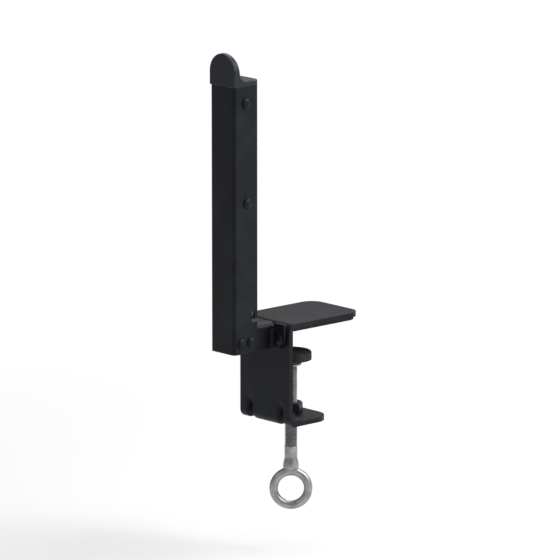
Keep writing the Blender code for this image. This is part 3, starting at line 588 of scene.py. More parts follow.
def drill(obj, place, axis, radius, length):
    """A round hole, in the middle of whose length the place is."""
    combine(obj, turn("drill_bit", [(radius, -length / 2), (radius, length / 2)], place, axis, HOLE_STEPS))


print("shaping helpers are ready")

# %% [markdown]
# The last helpers end each piece. `soften` rounds its sharp edges and `finish` gives it a finish and
# a body to ride on, and hides the node that it stands for. `measure` counts the edges that lack a
# face on one side, because a hole in a mesh is easily missed by eye.

# %% Helpers for finishing
SHADE_SMOOTH_BELOW = math.radians(32)


def mark_sharp_edges(obj, angle=40, weight=1, rule=anywhere):
    """Adds to the weight, which the next bevel follows, of each sharp edge that passes the rule."""
    with editing(obj):
        bpy.ops.mesh.select_mode(type="EDGE")
        bpy.ops.mesh.edges_select_sharp(sharpness=math.radians(angle))
        for edge in bmesh.from_edit_mesh(obj.data).edges:
            start_point, end_point = (vert.co for vert in edge.verts)
            if edge.select and not rule((start_point + end_point) / 2, end_point - start_point):
                edge.select_set(False)
        bpy.ops.transform.edge_bevelweight(value=weight)


def soften(obj, width, segments=3, angle=40, marked=False, clamp=True):
    """Rounds the sharp edges with a narrow bevel, whose faces get 1 in the attribute that Finish.edge
    reads. The bevel gives its faces the second of two materials, which tells them apart."""
    if not marked:
        mark_sharp_edges(obj, angle)
    obj.data.materials.clear()
    obj.data.materials.append(powder_coat.material)
    obj.data.materials.append(zinc_plate.material)
    apply_modifier(obj, "BEVEL", width=width, segments=segments, limit_method="WEIGHT", material=1,
                   use_clamp_overlap=clamp, miter_outer="MITER_ARC")
    edge = obj.data.attributes.new("edge", "FLOAT", "CORNER")
    for polygon in obj.data.polygons:
        for loop in polygon.loop_indices:
            edge.data[loop].value = polygon.material_index
        polygon.material_index = 0


def measure(obj):
    """A mesh's triangles, its edges that lack a face on one side, and its box in millimetres."""
    obj.data.calc_loop_triangles()
    mesh = bmesh.new()
    mesh.from_mesh(obj.data)
    open_edges = sum(not edge.is_manifold for edge in mesh.edges)
    mesh.free()
    low, high = [[round(end(v.co[i] for v in obj.data.vertices) / MM, 2) for i in range(3)]
                 for end in (min, max)]
    return f"{len(obj.data.loop_triangles)} triangles, {open_edges} open edges, from {low} to {high}"


def finish(obj, body, look, node):
    """The last step of a piece: smooth shading, its finish, its body, and hiding the node that it stands for.
    """
    tidy_mesh(obj)
    only(obj)
    bpy.ops.object.shade_smooth_by_angle(angle=SHADE_SMOOTH_BELOW)
    apply_modifier(obj, "WEIGHTED_NORMAL", weight=100, keep_sharp=True)
    obj.data.materials.clear()
    obj.data.materials.append(look.material)
    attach(obj, body)
    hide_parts(node)
    print(f"{obj.name} on {body}: {measure(obj)}")


print("finishing helpers are ready")

# %% [markdown]
# ## Clamp frame
# On the real clamp this is one strip of steel, 45 by 3 mm, bent twice. It could be a block with a
# block cut out of it, but then the outside corners would be square. Here the end face of the strip
# is extruded along each straight and spun round each bend, just as the press bends it.

# %% Bend the clamp frame
STEEL = 3 * MM
BEND_RADIUS = 2 * MM
UPPER_CORNER = 9 * MM
LOWER_CORNER = 12 * MM
CORNER_STEPS = 12
LOWER_REACH = 33 * MM

strip_low, strip_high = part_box("clamp_frame")
bend_y = strip_low.y + STEEL + BEND_RADIUS
upper_bend_z = strip_high.z - STEEL - BEND_RADIUS
lower_bend_z = strip_low.z + STEEL + BEND_RADIUS
lower_tip = strip_low.y + STEEL + LOWER_REACH

clamp_frame = start("bent_clamp_frame", bpy.ops.mesh.primitive_plane_add, size=1, rotation=(QUARTER, 0, 0),
                    location=(0, strip_high.y, strip_high.z - STEEL / 2), scale=(2 * strip_high.x, STEEL, 1))
with editing(clamp_frame):
    bpy.ops.mesh.select_all(action="SELECT")
    extrude(y=bend_y - strip_high.y)
    spin(QUARTER, (0, bend_y, upper_bend_z), (1, 0, 0))
    extrude(z=lower_bend_z - upper_bend_z)
    spin(QUARTER, (0, bend_y, lower_bend_z), (1, 0, 0))
    extrude(y=lower_tip - bend_y)
tidy_mesh(clamp_frame)
with editing(clamp_frame):
    round_corners(UPPER_CORNER, CORNER_STEPS, lying("Z", y=strip_high.y))
    round_corners(LOWER_CORNER, CORNER_STEPS, lying("Z", y=lower_tip, z=strip_low.z + STEEL / 2))
print("bent strip:", measure(clamp_frame))

# %% [markdown]
# Two darts, like small buttresses, are pressed into the lower bend so that it can't spring open.
# They could be added as wedges, but a press moves the whole thickness of the steel. So the strip is
# cut finely there, and each point moves towards the dart's slope, most along the dart's middle.

# %% Drill the holes and press the darts
RIVET_HOLE = 2.3 * MM
RIVET_SINK = 4 * MM
SCREW_HOLE = 4.3 * MM
EDGE_WEAR = 0.35 * MM
PAST = 2 * MM
DART_LEG = 11 * MM
DART_HALF = 5 * MM
DART_PLACE = 14 * MM
DART_CUT = 0.4 * MM
DART_BLEND = 2.5 * MM


def middle_of(node):
    node_low, node_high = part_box(node)
    return (node_low + node_high) / 2


jaw_top = strip_low.z + STEEL
web_in = strip_low.y + STEEL
dart_end_z, dart_end_y = jaw_top + DART_LEG + DART_BLEND, web_in + DART_LEG + DART_BLEND
arm_rivet = middle_of("arm_rivet_1")


def in_lower_bend(at, facing):
    return at.z < dart_end_z and at.y < dart_end_y


def beside_dart(at, facing):
    return in_lower_bend(at, facing) and abs(abs(at.x) - DART_PLACE) < DART_HALF


def ease(depth):
    """The depth itself, but with a soft start in place of the corner at 0."""
    return depth if depth > DART_BLEND else max(0, depth + DART_BLEND) ** 2 / (4 * DART_BLEND)


sink = [(RIVET_HOLE, -STEEL - PAST), (RIVET_HOLE, -STEEL / 2), (RIVET_SINK, 0), (RIVET_SINK, PAST)]
for side in (-1, 1):
    place = (side * arm_rivet.x, web_in, arm_rivet.z)
    combine(clamp_frame, turn("countersink", sink, place, "Y", HOLE_STEPS))
drill(clamp_frame, (0, 0, jaw_top - STEEL / 2), "Z", SCREW_HOLE, STEEL + PAST)
mark_sharp_edges(clamp_frame, angle=60)
dart_steps = range(round((DART_LEG + DART_BLEND) / MM))
cuts = round(DART_HALF / DART_CUT)
with editing(clamp_frame):
    slice_at("Z", [dart_end_z], lambda at, facing: at.y < bend_y)
    slice_at("Y", [dart_end_y], lambda at, facing: at.z < lower_bend_z)
    for side in (-1, 1):
        slice_at("X", [side * DART_PLACE + k * DART_CUT for k in range(-cuts, cuts + 1)], in_lower_bend)
    slice_at("Z", [lower_bend_z + k * MM for k in dart_steps], beside_dart)
    slice_at("Y", [bend_y + k * MM for k in dart_steps], beside_dart)
for vert in clamp_frame.data.vertices:
    is_outer = vert.co.y < web_in - STEEL / 4 or vert.co.z < jaw_top - STEEL / 4
    across = min(1, abs(abs(vert.co.x) - DART_PLACE) / (DART_HALF - STEEL / 2 * is_outer))
    rise, reach = max(vert.co.z - jaw_top, 0), max(vert.co.y - web_in, 0)
    push = ease(DART_LEG - rise - reach) / 2 * math.cos(across * QUARTER) ** 2
    vert.co += Vector((0, push, push))
soften(clamp_frame, EDGE_WEAR, marked=True)
finish(clamp_frame, "frame", powder_coat, "clamp_frame")

# %% [markdown]
# ## Jaw pad
# A moulded rubber pad keeps the upper jaw from marking the board. Its grip grooves stop short of
# the rim. They are extruded upwards from strips of the underside, and could as well be cut with
# a row of thin boxes, but then each groove would need its own Boolean.

# %% Mould the jaw pad
PAD_CORNER = 7.5 * MM
PAD_EDGE = 0.2 * MM
PAD_RIM = 2 * MM
GROOVE_PITCH = 3 * MM
GROOVE_WIDTH = 1.2 * MM
GROOVE_DEPTH = 0.5 * MM


def start_block(name, low, high):
    """A block between two opposite corners."""
    size, middle = Vector(high) - Vector(low), (Vector(low) + Vector(high)) / 2
    return start(name, bpy.ops.mesh.primitive_cube_add, size=1, location=middle, scale=size)


pad_low, pad_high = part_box("jaw_pad")
jaw_pad = start_block("grooved_jaw_pad", pad_low, pad_high)
inside_rim = pad_high.x - PAD_RIM
first_groove = pad_low.y + PAD_RIM
groove_count = int((pad_high.y - PAD_CORNER - first_groove) / GROOVE_PITCH)
grooves = [first_groove + k * GROOVE_PITCH for k in range(groove_count)]


def underneath(at, facing):
    return points(facing, "-Z")


def in_groove(at, facing):
    is_along = any(0 < at.y - y < GROOVE_WIDTH for y in grooves)
    return is_along and abs(at.x) < inside_rim and underneath(at, facing)


with editing(jaw_pad):
    round_corners(PAD_CORNER, CORNER_STEPS, lying("Z", y=pad_high.y))
    slice_at("X", [-inside_rim, inside_rim], underneath)
    slice_at("Y", [edge for y in grooves for edge in (y, y + GROOVE_WIDTH)], underneath)
    pick("FACE", in_groove)
    extrude(z=GROOVE_DEPTH)
soften(jaw_pad, PAD_EDGE)
finish(jaw_pad, "frame", rubber, "jaw_pad")

# %% [markdown]
# ## Weld nut
# The clamp screw turns in an M8 nut that is welded to the lower jaw before painting. Its corners
# are chamfered by a turned cone, as on the real nut. A bevel of its upper edges would be quicker,
# but it would cut the flats as much as the corners.

# %% Make the nut
NUT_FLATS = 13 * MM
NUT_CHAMFER = 0.7 * MM
NUT_EDGE = 0.15 * MM

nut_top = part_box("weld_nut")[1].z
nut_height = nut_top - jaw_top
weld_nut = start("chamfered_weld_nut", bpy.ops.mesh.primitive_cylinder_add, vertices=6, depth=nut_height,
                 radius=NUT_FLATS / math.sqrt(3), rotation=(0, 0, QUARTER),
                 location=(0, 0, jaw_top + nut_height / 2))
half_flats, sunk = NUT_FLATS / 2, SCREW_HOLE + NUT_CHAMFER
cone = [(half_flats + PAST, jaw_top - PAST), (half_flats + PAST, nut_top - PAST), (half_flats, nut_top),
        (half_flats, nut_top + PAST)]
bore = [(SCREW_HOLE, jaw_top - PAST), (SCREW_HOLE, nut_top - NUT_CHAMFER), (sunk, nut_top),
        (sunk + PAST, nut_top + PAST)]
combine(weld_nut, turn("nut_cone", cone), "INTERSECT")
combine(weld_nut, turn("nut_bore", bore))
soften(weld_nut, NUT_EDGE, segments=2)
finish(weld_nut, "frame", powder_coat, "weld_nut")

# %% [markdown]
# Three short welds hold the nut. A weld bead is a row of overlapping drops. Six joined balls would
# leave sharp creases between them, so each bead is one ball that is stretched and then pinched
# along its length. It is modelled once and copied round the nut.

# %% Weld the nut
BEAD_LENGTH = 4.6 * MM
BEAD_RADIUS = 1.1 * MM
BEAD_DROPS = 6
BEAD_PINCH = 0.07
BEAD_OUT, BEAD_UP = 0.15 * MM, 0.1 * MM
WELDS = 3


def copy_piece(obj, name, place=(0, 0, 0), turned=(0, 0, 0)):
    """A copy with its own mesh, moved and turned."""
    only(obj)
    bpy.ops.object.duplicate(linked=False)
    made = bpy.context.object
    made.name = made.data.name = name
    place_piece(made, place, turned)
    return made


bead = start("weld_bead", bpy.ops.mesh.primitive_uv_sphere_add, segments=40, ring_count=24,
             radius=BEAD_RADIUS, rotation=(0, QUARTER, 0))
for vert in bead.data.vertices:
    along = vert.co.x / BEAD_RADIUS
    pinch = 1 + BEAD_PINCH * math.cos(along * math.pi * BEAD_DROPS)
    vert.co = Vector((along * BEAD_LENGTH / 2, vert.co.y * pinch, vert.co.z * pinch))
place_piece(bead, (0, half_flats + BEAD_OUT, jaw_top + BEAD_UP))
for index in range(WELDS):
    weld = copy_piece(bead, f"nut_weld_{index + 1}", turned=(0, 0, index * math.tau / WELDS))
    finish(weld, "frame", powder_coat, "weld_nut")
bpy.data.objects.remove(bead)

# %% [markdown]
# ## Post arm
# A pressed channel joins the clamp to the post. Its ribs turn outwards in front, as tabs for the
# rivets. The press folds flat sheet, so this piece starts as the sheet's outer surface: an open
# box whose ribs' front edges are spun outwards. Solidify then adds the steel on the inside. A solid
# block with a pocket would need each inner corner rounded to match its outer one.

# %% Fold the arm
ARM_STEEL = 2 * MM
ARM_BEND = 3 * MM
FOLD_RELIEF = 1 * MM
TAB_BEND = 2 * MM
TAB_CHAMFER = 5 * MM
TENSION_HOLE = 2.8 * MM
DECIMALS = 5

arm_low, arm_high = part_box("post_arm")
post_low, post_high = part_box("net_post")
bridge_low, bridge_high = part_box("screw_bridge")
tension_low, tension_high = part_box("tension_screw")
tension_y = middle_of("tension_screw").y
arm_half = bridge_high.x
tab_front = arm_high.y - ARM_STEEL
tab_root = arm_half + TAB_BEND
rib_front = tab_front - TAB_BEND
fold_top = arm_high.z - ARM_BEND - FOLD_RELIEF


def start_sheet(name, low, high, *open_sides):
    """The outer surface of a bent sheet: a block without the sides that face along the axes given."""
    obj = start_block(name, low, high)
    with editing(obj):
        pick("FACE", lambda at, facing: any(points(facing, side) for side in open_sides))
        bpy.ops.mesh.delete(type="FACE")
    return obj


def thicken(obj, thickness):
    """Gives an outer surface its thickness, inwards."""
    tidy_mesh(obj)
    apply_modifier(obj, "SOLIDIFY", thickness=thickness, offset=-1, use_even_offset=True)


post_arm = start_sheet("folded_post_arm", (-arm_half, arm_low.y, arm_low.z),
                       (arm_half, rib_front, arm_high.z), "Y", "-Y", "-Z")
with editing(post_arm):
    round_corners(ARM_BEND, BENT_STEPS, lying("Y", z=arm_high.z))
    slice_at("Z", [fold_top], lambda at, facing: runs(facing, "X"))
    pick("EDGE", lambda at, along: near(at.y, rib_front) and at.z > fold_top, rim=True)
    extrude(y=arm_high.y - rib_front)
    for side in (-1, 1):
        pick("EDGE", lambda at, along: near(at.y, rib_front) and side * at.x > 0 and at.z < fold_top,
             rim=True)
        spin(-side * QUARTER, (side * tab_root, rib_front, 0), (0, 0, 1))
        extrude(x=side * (arm_high.x - tab_root))
        pick("EDGE", lambda at, along: runs(along, "X") and near(at.z, fold_top) and near(at.y, tab_front)
             and side * at.x > tab_root, rim=True)
        extrude(z=arm_high.z - fold_top)
    round_corners(TAB_CHAMFER, 1, lambda at, facing: near(abs(at.x), arm_high.x) and near(at.z, arm_low.z),
                  "VERT")
thicken(post_arm, ARM_STEEL)

post_rivets = [middle_of(f"post_rivet_{index}") for index in (1, 2, 3, 4)]
rivet_rows = sorted({(round(at.y, DECIMALS), round(at.z, DECIMALS)) for at in post_rivets})
for side in (-1, 1):
    place = (side * arm_rivet.x, arm_high.y - ARM_STEEL / 2, arm_rivet.z)
    drill(post_arm, place, "Y", RIVET_HOLE, ARM_STEEL + PAST)
for y, z in rivet_rows:
    drill(post_arm, (0, y, z), "X", RIVET_HOLE, 2 * post_high.x)
drill(post_arm, (0, tension_y, arm_high.z), "Z", TENSION_HOLE, 2 * ARM_STEEL + PAST)
soften(post_arm, EDGE_WEAR)
finish(post_arm, "frame", powder_coat, "post_arm")

# %% [markdown]
# ## Net post
# A steel channel, open towards the board. Its sides are drawn out of an open block, so the bends at
# the back can be rounded before the steel has its thickness. The lower cord hangs in a J-shaped
# notch on each side. One long cutter with an extruded mouth makes both, so they line up.

# %% Bend the post and cut its notches
POST_STEEL = 1.5 * MM
POST_BEND = 2.5 * MM
POST_EDGE = 0.25 * MM
FOOT_CHAMFER = 5 * MM
NOTCH_FLOOR = 8 * MM
NOTCH_MOUTH = 3 * MM
NOTCH_DEPTH = 5 * MM
NOTCH_RISE = 4 * MM
NOTCH_ROUND = 0.49 * NOTCH_MOUTH
PIN_HOLE = 2.3 * MM

net_post = start_sheet("bent_net_post", post_low, post_high, "Y", "Z", "-Z")
with editing(net_post):
    round_corners(POST_BEND, BENT_STEPS, lying("Z", y=post_low.y))
    round_corners(FOOT_CHAMFER, 1, lying(y=post_high.y, z=post_low.z), "VERT")
thicken(net_post, POST_STEEL)

lip = NOTCH_FLOOR + NOTCH_MOUTH
deep = post_high.y - NOTCH_DEPTH
notch = start_block("notch_cutter", (-post_high.x - PAST, deep, NOTCH_FLOOR),
                    (post_high.x + PAST, deep + NOTCH_MOUTH, lip + NOTCH_RISE))
with editing(notch):
    slice_at("Z", [lip])
    pick("FACE", lambda at, facing: points(facing, "Y") and at.z < lip)
    extrude(y=NOTCH_DEPTH)
    round_corners(NOTCH_ROUND, 6, lambda at, along: runs(along, "X") and not near(at.z, lip)
                  and (near(at.y, deep) or at.z > lip))
combine(net_post, notch)

roller_at = middle_of("cord_roller")
bridge_rivet_z = middle_of("bridge_rivet_1").z
for y, z, radius in [(y, z, RIVET_HOLE) for y, z in rivet_rows] + [
        (roller_at.y, roller_at.z, PIN_HOLE), (tension_y, bridge_rivet_z, RIVET_HOLE)]:
    drill(net_post, (0, y, z), "X", radius, 2 * post_high.x + PAST)
soften(net_post, POST_EDGE)
finish(net_post, "frame", powder_coat, "net_post")

# %% [markdown]
# ## Rivets
# A rivet is a turned piece. One head is formed in advance as a low dome, and the other is squashed
# in place. The domes sit flat on the steel. Each kind is turned once and copied to its places, and
# the copies for the left side are turned round. A copy has its own mesh, because the pieces keep
# their place in the mesh and a shared mesh can only be in one place.

# %% Turn the domed rivets
RIVET_RADIUS = 2 * MM
HEAD_RADIUS = 3.4 * MM
HEAD_RIM = 0.35 * MM
HEAD_EDGE = 0.12 * MM
TAIL_EDGE = 0.1 * MM
POLE = 0.3 * MM
RIVET_TAIL = 1 * MM
RIVET_STEPS = 40
DOME_STEPS = 7
SEAT_GAP = 0.3 * MM


def dome(height):
    """A domed head's profile, from its middle down to the face that it sits on."""
    angles = [QUARTER * (1 - step / DOME_STEPS) for step in range(DOME_STEPS)] + [0]
    arch = [(HEAD_RADIUS * max(0.04, math.cos(a)), HEAD_RIM + (height - HEAD_RIM) * math.sin(a))
            for a in angles]
    return arch + [(HEAD_RADIUS, HEAD_EDGE), (HEAD_RADIUS - HEAD_EDGE, 0), (RIVET_RADIUS, 0)]


def rivet(name, height, grip, tail):
    """A rivet on the Z axis, from its domed head, through what it grips, to its squashed end."""
    crown = HEAD_RADIUS - tail / 2
    end = [(RIVET_RADIUS, -grip), (HEAD_RADIUS - TAIL_EDGE, -grip), (HEAD_RADIUS, -grip - 0.15 * MM),
           (HEAD_RADIUS, -grip - tail * 0.45), (crown, -grip - tail * 0.9), (crown * 0.8, -grip - tail),
           (POLE, -grip - tail)]
    return turn(name, dome(height) + end, segments=RIVET_STEPS)


head_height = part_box("post_rivet_1")[1].x - post_high.x
for kind, count, inner_steel in (("post_rivet", 4, ARM_STEEL), ("bridge_rivet", 2, POST_STEEL)):
    form = rivet(kind, head_height, POST_STEEL + SEAT_GAP + inner_steel, RIVET_TAIL)
    for node in [f"{kind}_{index + 1}" for index in range(count)]:
        at = middle_of(node)
        side, axis = (1, "X") if at.x > 0 else (-1, "-X")
        made = copy_piece(form, "domed_" + node, (side * post_high.x, at.y, at.z), TO_AXIS[axis])
        finish(made, "frame", powder_coat, node)
    bpy.data.objects.remove(form)

# %% [markdown]
# The arm's two rivets end flush in the clamp frame, because the board's edge rests there, so their
# inner ends are cones that fill the countersinks. The roller's pin has a dome at both ends: half of
# its profile is written down, and the other half is the same list, mirrored and read backwards.

# %% Turn the two countersunk rivets and the pin
def mirrored(profile, ends=0):
    """A profile upside down and read backwards. Ends is the sum of the heights of its two ends."""
    return [(radius, ends - height) for radius, height in reversed(profile)]


arm_grip = ARM_STEEL + SEAT_GAP + STEEL
flush = [(RIVET_RADIUS, -arm_grip + STEEL / 2), (HEAD_RADIUS, -arm_grip + 2 * TAIL_EDGE),
         (HEAD_RADIUS - 2 * TAIL_EDGE, -arm_grip + TAIL_EDGE), (POLE, -arm_grip + TAIL_EDGE)]
form = turn("flush_rivet", dome(head_height) + flush, segments=RIVET_STEPS)
for node in ("arm_rivet_1", "arm_rivet_2"):
    place = (middle_of(node).x, tab_front, arm_rivet.z)
    made = copy_piece(form, "countersunk_" + node, place, TO_AXIS["-Y"])
    finish(made, "frame", powder_coat, node)
bpy.data.objects.remove(form)

pin_half = [(radius, post_high.x + height) for radius, height in dome(head_height)]
roller_pin = turn("domed_roller_pin", pin_half + mirrored(pin_half), (0, roller_at.y, roller_at.z), "X",
                  RIVET_STEPS)
finish(roller_pin, "frame", powder_coat, "roller_pin")

# %% [markdown]
# ## Post cap
# One moulding closes the post: a crown over the steel's edges, a round-topped horn at the back and
# two cheeks that go down inside. The crown is a block whose back is extruded up into the horn. A
# moulding has no sharp edge anywhere, so every edge gets a bevel weight, and the edges above the
# crown, which hands hold, get the most. Two bevels of two widths would cut into each other.

# %% Mould the cap
CROWN_THICKNESS = 3.6 * MM
CROWN_GAP = 0.02 * MM
HORN_THICKNESS = 6 * MM
HORN_TAPER = 1.5 * MM
HORN_EDGE = 1.3 * MM
HORN_ROUND = 0.999
HORN_STEPS = 18
MOULD_EDGE = 0.35
SADDLE_RADIUS = 4 * MM
CHEEK_CORNER = 3 * MM
CHEEK_DROP = 9 * MM
CHEEK_SLANT = 4.5 * MM

cap_low, cap_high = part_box("post_cap")
roller_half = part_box("cord_roller")[1].x
crown_under = post_high.z + CROWN_GAP
crown_top = post_high.z + SEAT_GAP + CROWN_THICKNESS
horn_front = cap_low.y + HORN_THICKNESS

post_cap = start_block("moulded_post_cap", (cap_low.x, cap_low.y, crown_under),
                       (cap_high.x, cap_high.y, crown_top))
with editing(post_cap):
    slice_at("Y", [horn_front])
    pick("FACE", lambda at, facing: points(facing, "Z") and at.y < horn_front)
    extrude(z=cap_high.z - crown_top)
    pick("EDGE", lying("X", y=horn_front, z=cap_high.z))
    bpy.ops.transform.translate(value=(0, -HORN_TAPER, 0))
    round_corners(cap_high.x * HORN_ROUND, HORN_STEPS, lying("Y", z=cap_high.z))
    round_corners(SADDLE_RADIUS, BENT_STEPS, lying("X", y=horn_front, z=crown_top))

cheek_inner, cheek_outer = roller_half + 2 * SEAT_GAP, post_high.x - POST_STEEL - SEAT_GAP
cheek_back, cheek_front = post_low.y + POST_BEND, post_high.y - 2 * SEAT_GAP
cheek_foot = roller_at.z - CHEEK_DROP
for side in (-1, 1):
    left, right = sorted((side * cheek_inner, side * cheek_outer))
    cheek = start_block("cheek", (left, cheek_back, cheek_foot), (right, cheek_front, crown_top - MM))
    with editing(cheek):
        pick("EDGE", lying("X", y=cheek_front, z=cheek_foot))
        bpy.ops.transform.translate(value=(0, 0, CHEEK_SLANT))
        round_corners(CHEEK_CORNER, BENT_STEPS,
                      lambda at, along: runs(along, "X") and at.z < crown_under - CHEEK_CORNER)
    combine(post_cap, cheek, "UNION")
with editing(post_cap):
    bpy.ops.mesh.select_all(action="SELECT")
    bpy.ops.mesh.dissolve_limited(angle_limit=math.radians(1))
mark_sharp_edges(post_cap, weight=MOULD_EDGE)
mark_sharp_edges(post_cap, weight=1 - MOULD_EDGE, rule=lambda at, along: at.z > crown_under + MM)
soften(post_cap, HORN_EDGE, segments=5, marked=True, clamp=False)
drill(post_cap, (0, roller_at.y, roller_at.z), "X", PIN_HOLE, 2 * post_high.x)
finish(post_cap, "frame", moulding, "post_cap")

# %% [markdown]
# ## Roller
# The upper cord runs over this spool and down into the post. It is turned from a profile that
# comes back to its start, so that it gets its bore without a Boolean. The groove is half an
# ellipse, computed from its width and its depth, and the sides are dished as on such mouldings.

# %% Turn the roller
ROLLER_RIM = 6.5 * MM
GROOVE_FLOOR = 4.65 * MM
FLANGE = 1.5 * MM
ROUND_OFF = 0.35 * MM
ROLLER_EDGE = 0.12 * MM
SIDE_DISH = 0.5 * MM
DISH_WALL, DISH_FLOOR = 1.2 * MM, 1.4 * MM
GROOVE_STEPS = 14
GROOVE_FULLNESS = 0.8

groove_half, groove_sink = roller_half - FLANGE, ROLLER_RIM - GROOVE_FLOOR
arc = [math.pi * step / GROOVE_STEPS for step in range(GROOVE_STEPS + 1)]
groove = [(ROLLER_RIM - groove_sink * math.sin(a) ** GROOVE_FULLNESS, groove_half * math.cos(a)) for a in arc]
flank = [(PIN_HOLE, roller_half), (PIN_HOLE + DISH_WALL, roller_half),
         (PIN_HOLE + DISH_FLOOR, roller_half - SIDE_DISH), (ROLLER_RIM - DISH_FLOOR, roller_half - SIDE_DISH),
         (ROLLER_RIM - DISH_WALL, roller_half), (ROLLER_RIM - ROUND_OFF, roller_half),
         (ROLLER_RIM, roller_half - ROUND_OFF)]
roller = turn("grooved_cord_roller", flank + groove + mirrored(flank) + flank[:1],
              (0, roller_at.y, roller_at.z), "X", FINE_STEPS)
soften(roller, ROLLER_EDGE, segments=2)
finish(roller, "roller", moulding, "cord_roller")

# %% [markdown]
# ## Screw bridge
# A small strip across the channel steadies the top of the tension screw. It is folded like the
# post, for the same reason: an open block, its top edges rounded, and then the steel's thickness.

# %% Fold the bridge
BRIDGE_CORNER = 1.5 * MM
BRIDGE_EDGE = 0.2 * MM

screw_bridge = start_sheet("folded_screw_bridge", bridge_low, bridge_high, "Y", "-Y", "-Z")
with editing(screw_bridge):
    round_corners(POST_BEND, BENT_STEPS, lying("Y", z=bridge_high.z))
    round_corners(BRIDGE_CORNER, 4, lying(z=bridge_low.z), "VERT")
thicken(screw_bridge, POST_STEEL)
drill(screw_bridge, (0, tension_y, bridge_high.z), "Z", TENSION_HOLE, 2 * POST_STEEL + PAST)
drill(screw_bridge, (0, tension_y, bridge_rivet_z), "X", RIVET_HOLE, 2 * bridge_high.x + PAST)
soften(screw_bridge, BRIDGE_EDGE)
finish(screw_bridge, "frame", zinc_plate, "screw_bridge")

# %% [markdown]
# ## Threads
# A thread is one pitch of its profile, wound up by the Screw modifier. Rings stacked on a rod would
# look alike from afar, but rings don't climb. The profile begins as a plane that is merged to a
# single point, and the point is extruded through root, flank, crest and flank. Each turn ends
# where the next one starts, so the turns join. Their uneven ends are closed with fans of
# triangles, and a turned outline then cuts them off and gives the screw its chamfer.

# %% Wind the threads
THREAD_STEPS = 36
THREAD_LEAD_IN = 1.87
ROOT_SHARE, FLANK_SHARE, CREST_SHARE = 4 / 16, 5 / 16, 2 / 16
TURN_MERGE = 0.01 * MM
OVER = 0.1 * MM
TIP_CHAMFER = 0.8 * MM
M8_ROOT, M8_CREST, M8_PITCH = 3.24 * MM, 3.97 * MM, 1.25 * MM
M5_ROOT, M5_CREST, M5_PITCH = 2.02 * MM, 2.47 * MM, 0.8 * MM


def thread(name, root, crest, pitch, low, high, chamfer):
    """A right-hand thread round the Z axis, whose upper end is chamfered."""
    foot = low - THREAD_LEAD_IN * pitch
    obj = start(name, bpy.ops.mesh.primitive_plane_add, size=MM, location=(root, 0, foot))
    with editing(obj):
        bpy.ops.mesh.select_all(action="SELECT")
        bpy.ops.mesh.merge(type="CENTER")
        extrude(z=pitch * ROOT_SHARE)
        extrude(x=crest - root, z=pitch * FLANK_SHARE)
        extrude(z=pitch * CREST_SHARE)
        extrude(x=root - crest, z=pitch * FLANK_SHARE)
    turns = math.ceil((high - foot) / pitch) + 2
    apply_modifier(obj, "SCREW", screw_offset=pitch, iterations=turns, steps=THREAD_STEPS,
                   render_steps=THREAD_STEPS)
    with editing(obj):
        bpy.ops.mesh.select_all(action="SELECT")
        bpy.ops.mesh.remove_doubles(threshold=TURN_MERGE)
        for lower, shift in ((True, -pitch), (False, pitch)):
            pick("EDGE", lambda at, along: (at.z < low) == lower, rim=True)
            extrude(z=shift)
            bpy.ops.mesh.merge(type="CENTER")
    tidy_mesh(obj)
    outline = [(crest + OVER, low), (crest + OVER, high - chamfer - OVER), (crest - chamfer, high)]
    combine(obj, turn(name + "_outline", outline), "INTERSECT")
    return obj


wheel_low, wheel_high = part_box("thumbwheel")
tension_screw = thread("threaded_tension_screw", M5_ROOT, M5_CREST, M5_PITCH, wheel_high.z + MM / 2,
                       tension_high.z, TIP_CHAMFER / 2)
print("thread:", measure(tension_screw))

# %% [markdown]
# Below the wheel the tension screw is a plain rod with a groove for its clip. The rod is turned on
# its own and joined to the thread, whose foot is buried in it, so the thread runs out in a cone as
# on a real screw. Cutting the thread away there would leave its spiral in the groove.

# %% Join the tension screw's plain end
CLIP_GROOVE = 0.6 * MM
CLIP_PLAY = 0.15 * MM
M5_RADIUS = 2.5 * MM
FINE_CHAMFER = 0.4 * MM
RUN_OUT = 0.65 * MM

clip_low, clip_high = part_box("retaining_clip")
groove_low, groove_high = clip_low.z - CLIP_PLAY, clip_high.z + CLIP_PLAY
plain_top = wheel_high.z + 2 * RUN_OUT
neck = M5_RADIUS - CLIP_GROOVE
plain_end = [(M5_ROOT - 0.15 * MM, plain_top), (M5_RADIUS, plain_top - RUN_OUT), (M5_RADIUS, groove_high),
             (neck, groove_high), (neck, groove_low), (M5_RADIUS, groove_low),
             (M5_RADIUS, tension_low.z + FINE_CHAMFER), (M5_RADIUS - FINE_CHAMFER, tension_low.z)]
combine(tension_screw, turn("plain_end", plain_end), "UNION")
place_piece(tension_screw, (0, tension_y, 0))
tension_zinc = threaded_zinc("tension_screw_zinc", tension_y, M5_ROOT, M5_CREST, plain_top)
finish(tension_screw, "tensioner", tension_zinc, "tension_screw")

# %% [markdown]
# ## Clip and spacer
# Under the arm a spring clip snaps into the screw's groove. Above it a tube holds up the wheel, so
# a finger can reach it over the arm. Both are turned from the outline of their wall, and a block
# then opens the clip. A disc with a hole drilled in it would do, but this is one step less.

# %% Cut the clip and turn the spacer
CLIP_EDGE = 0.12 * MM
SPACER_EDGE = 0.3 * MM
CLIP_OPENING = math.radians(106)


def ring_profile(outer, inner, low, high):
    """The outline of a tube's wall, for turn."""
    return [(outer, low), (outer, high), (inner, high), (inner, low), (outer, low)]


clip_bore = neck + SEAT_GAP
clip_gap = clip_bore * math.sin(CLIP_OPENING / 2)
retaining_clip = turn("open_retaining_clip", ring_profile(clip_high.x, clip_bore, clip_low.z, clip_high.z),
                      (0, tension_y, 0))
combine(retaining_clip, start_block("clip_opening", (-clip_gap, tension_y, clip_low.z - PAST),
                                    (clip_gap, tension_y + 2 * clip_high.x, clip_high.z + PAST)))
soften(retaining_clip, CLIP_EDGE)
finish(retaining_clip, "tensioner", zinc_plate, "retaining_clip")

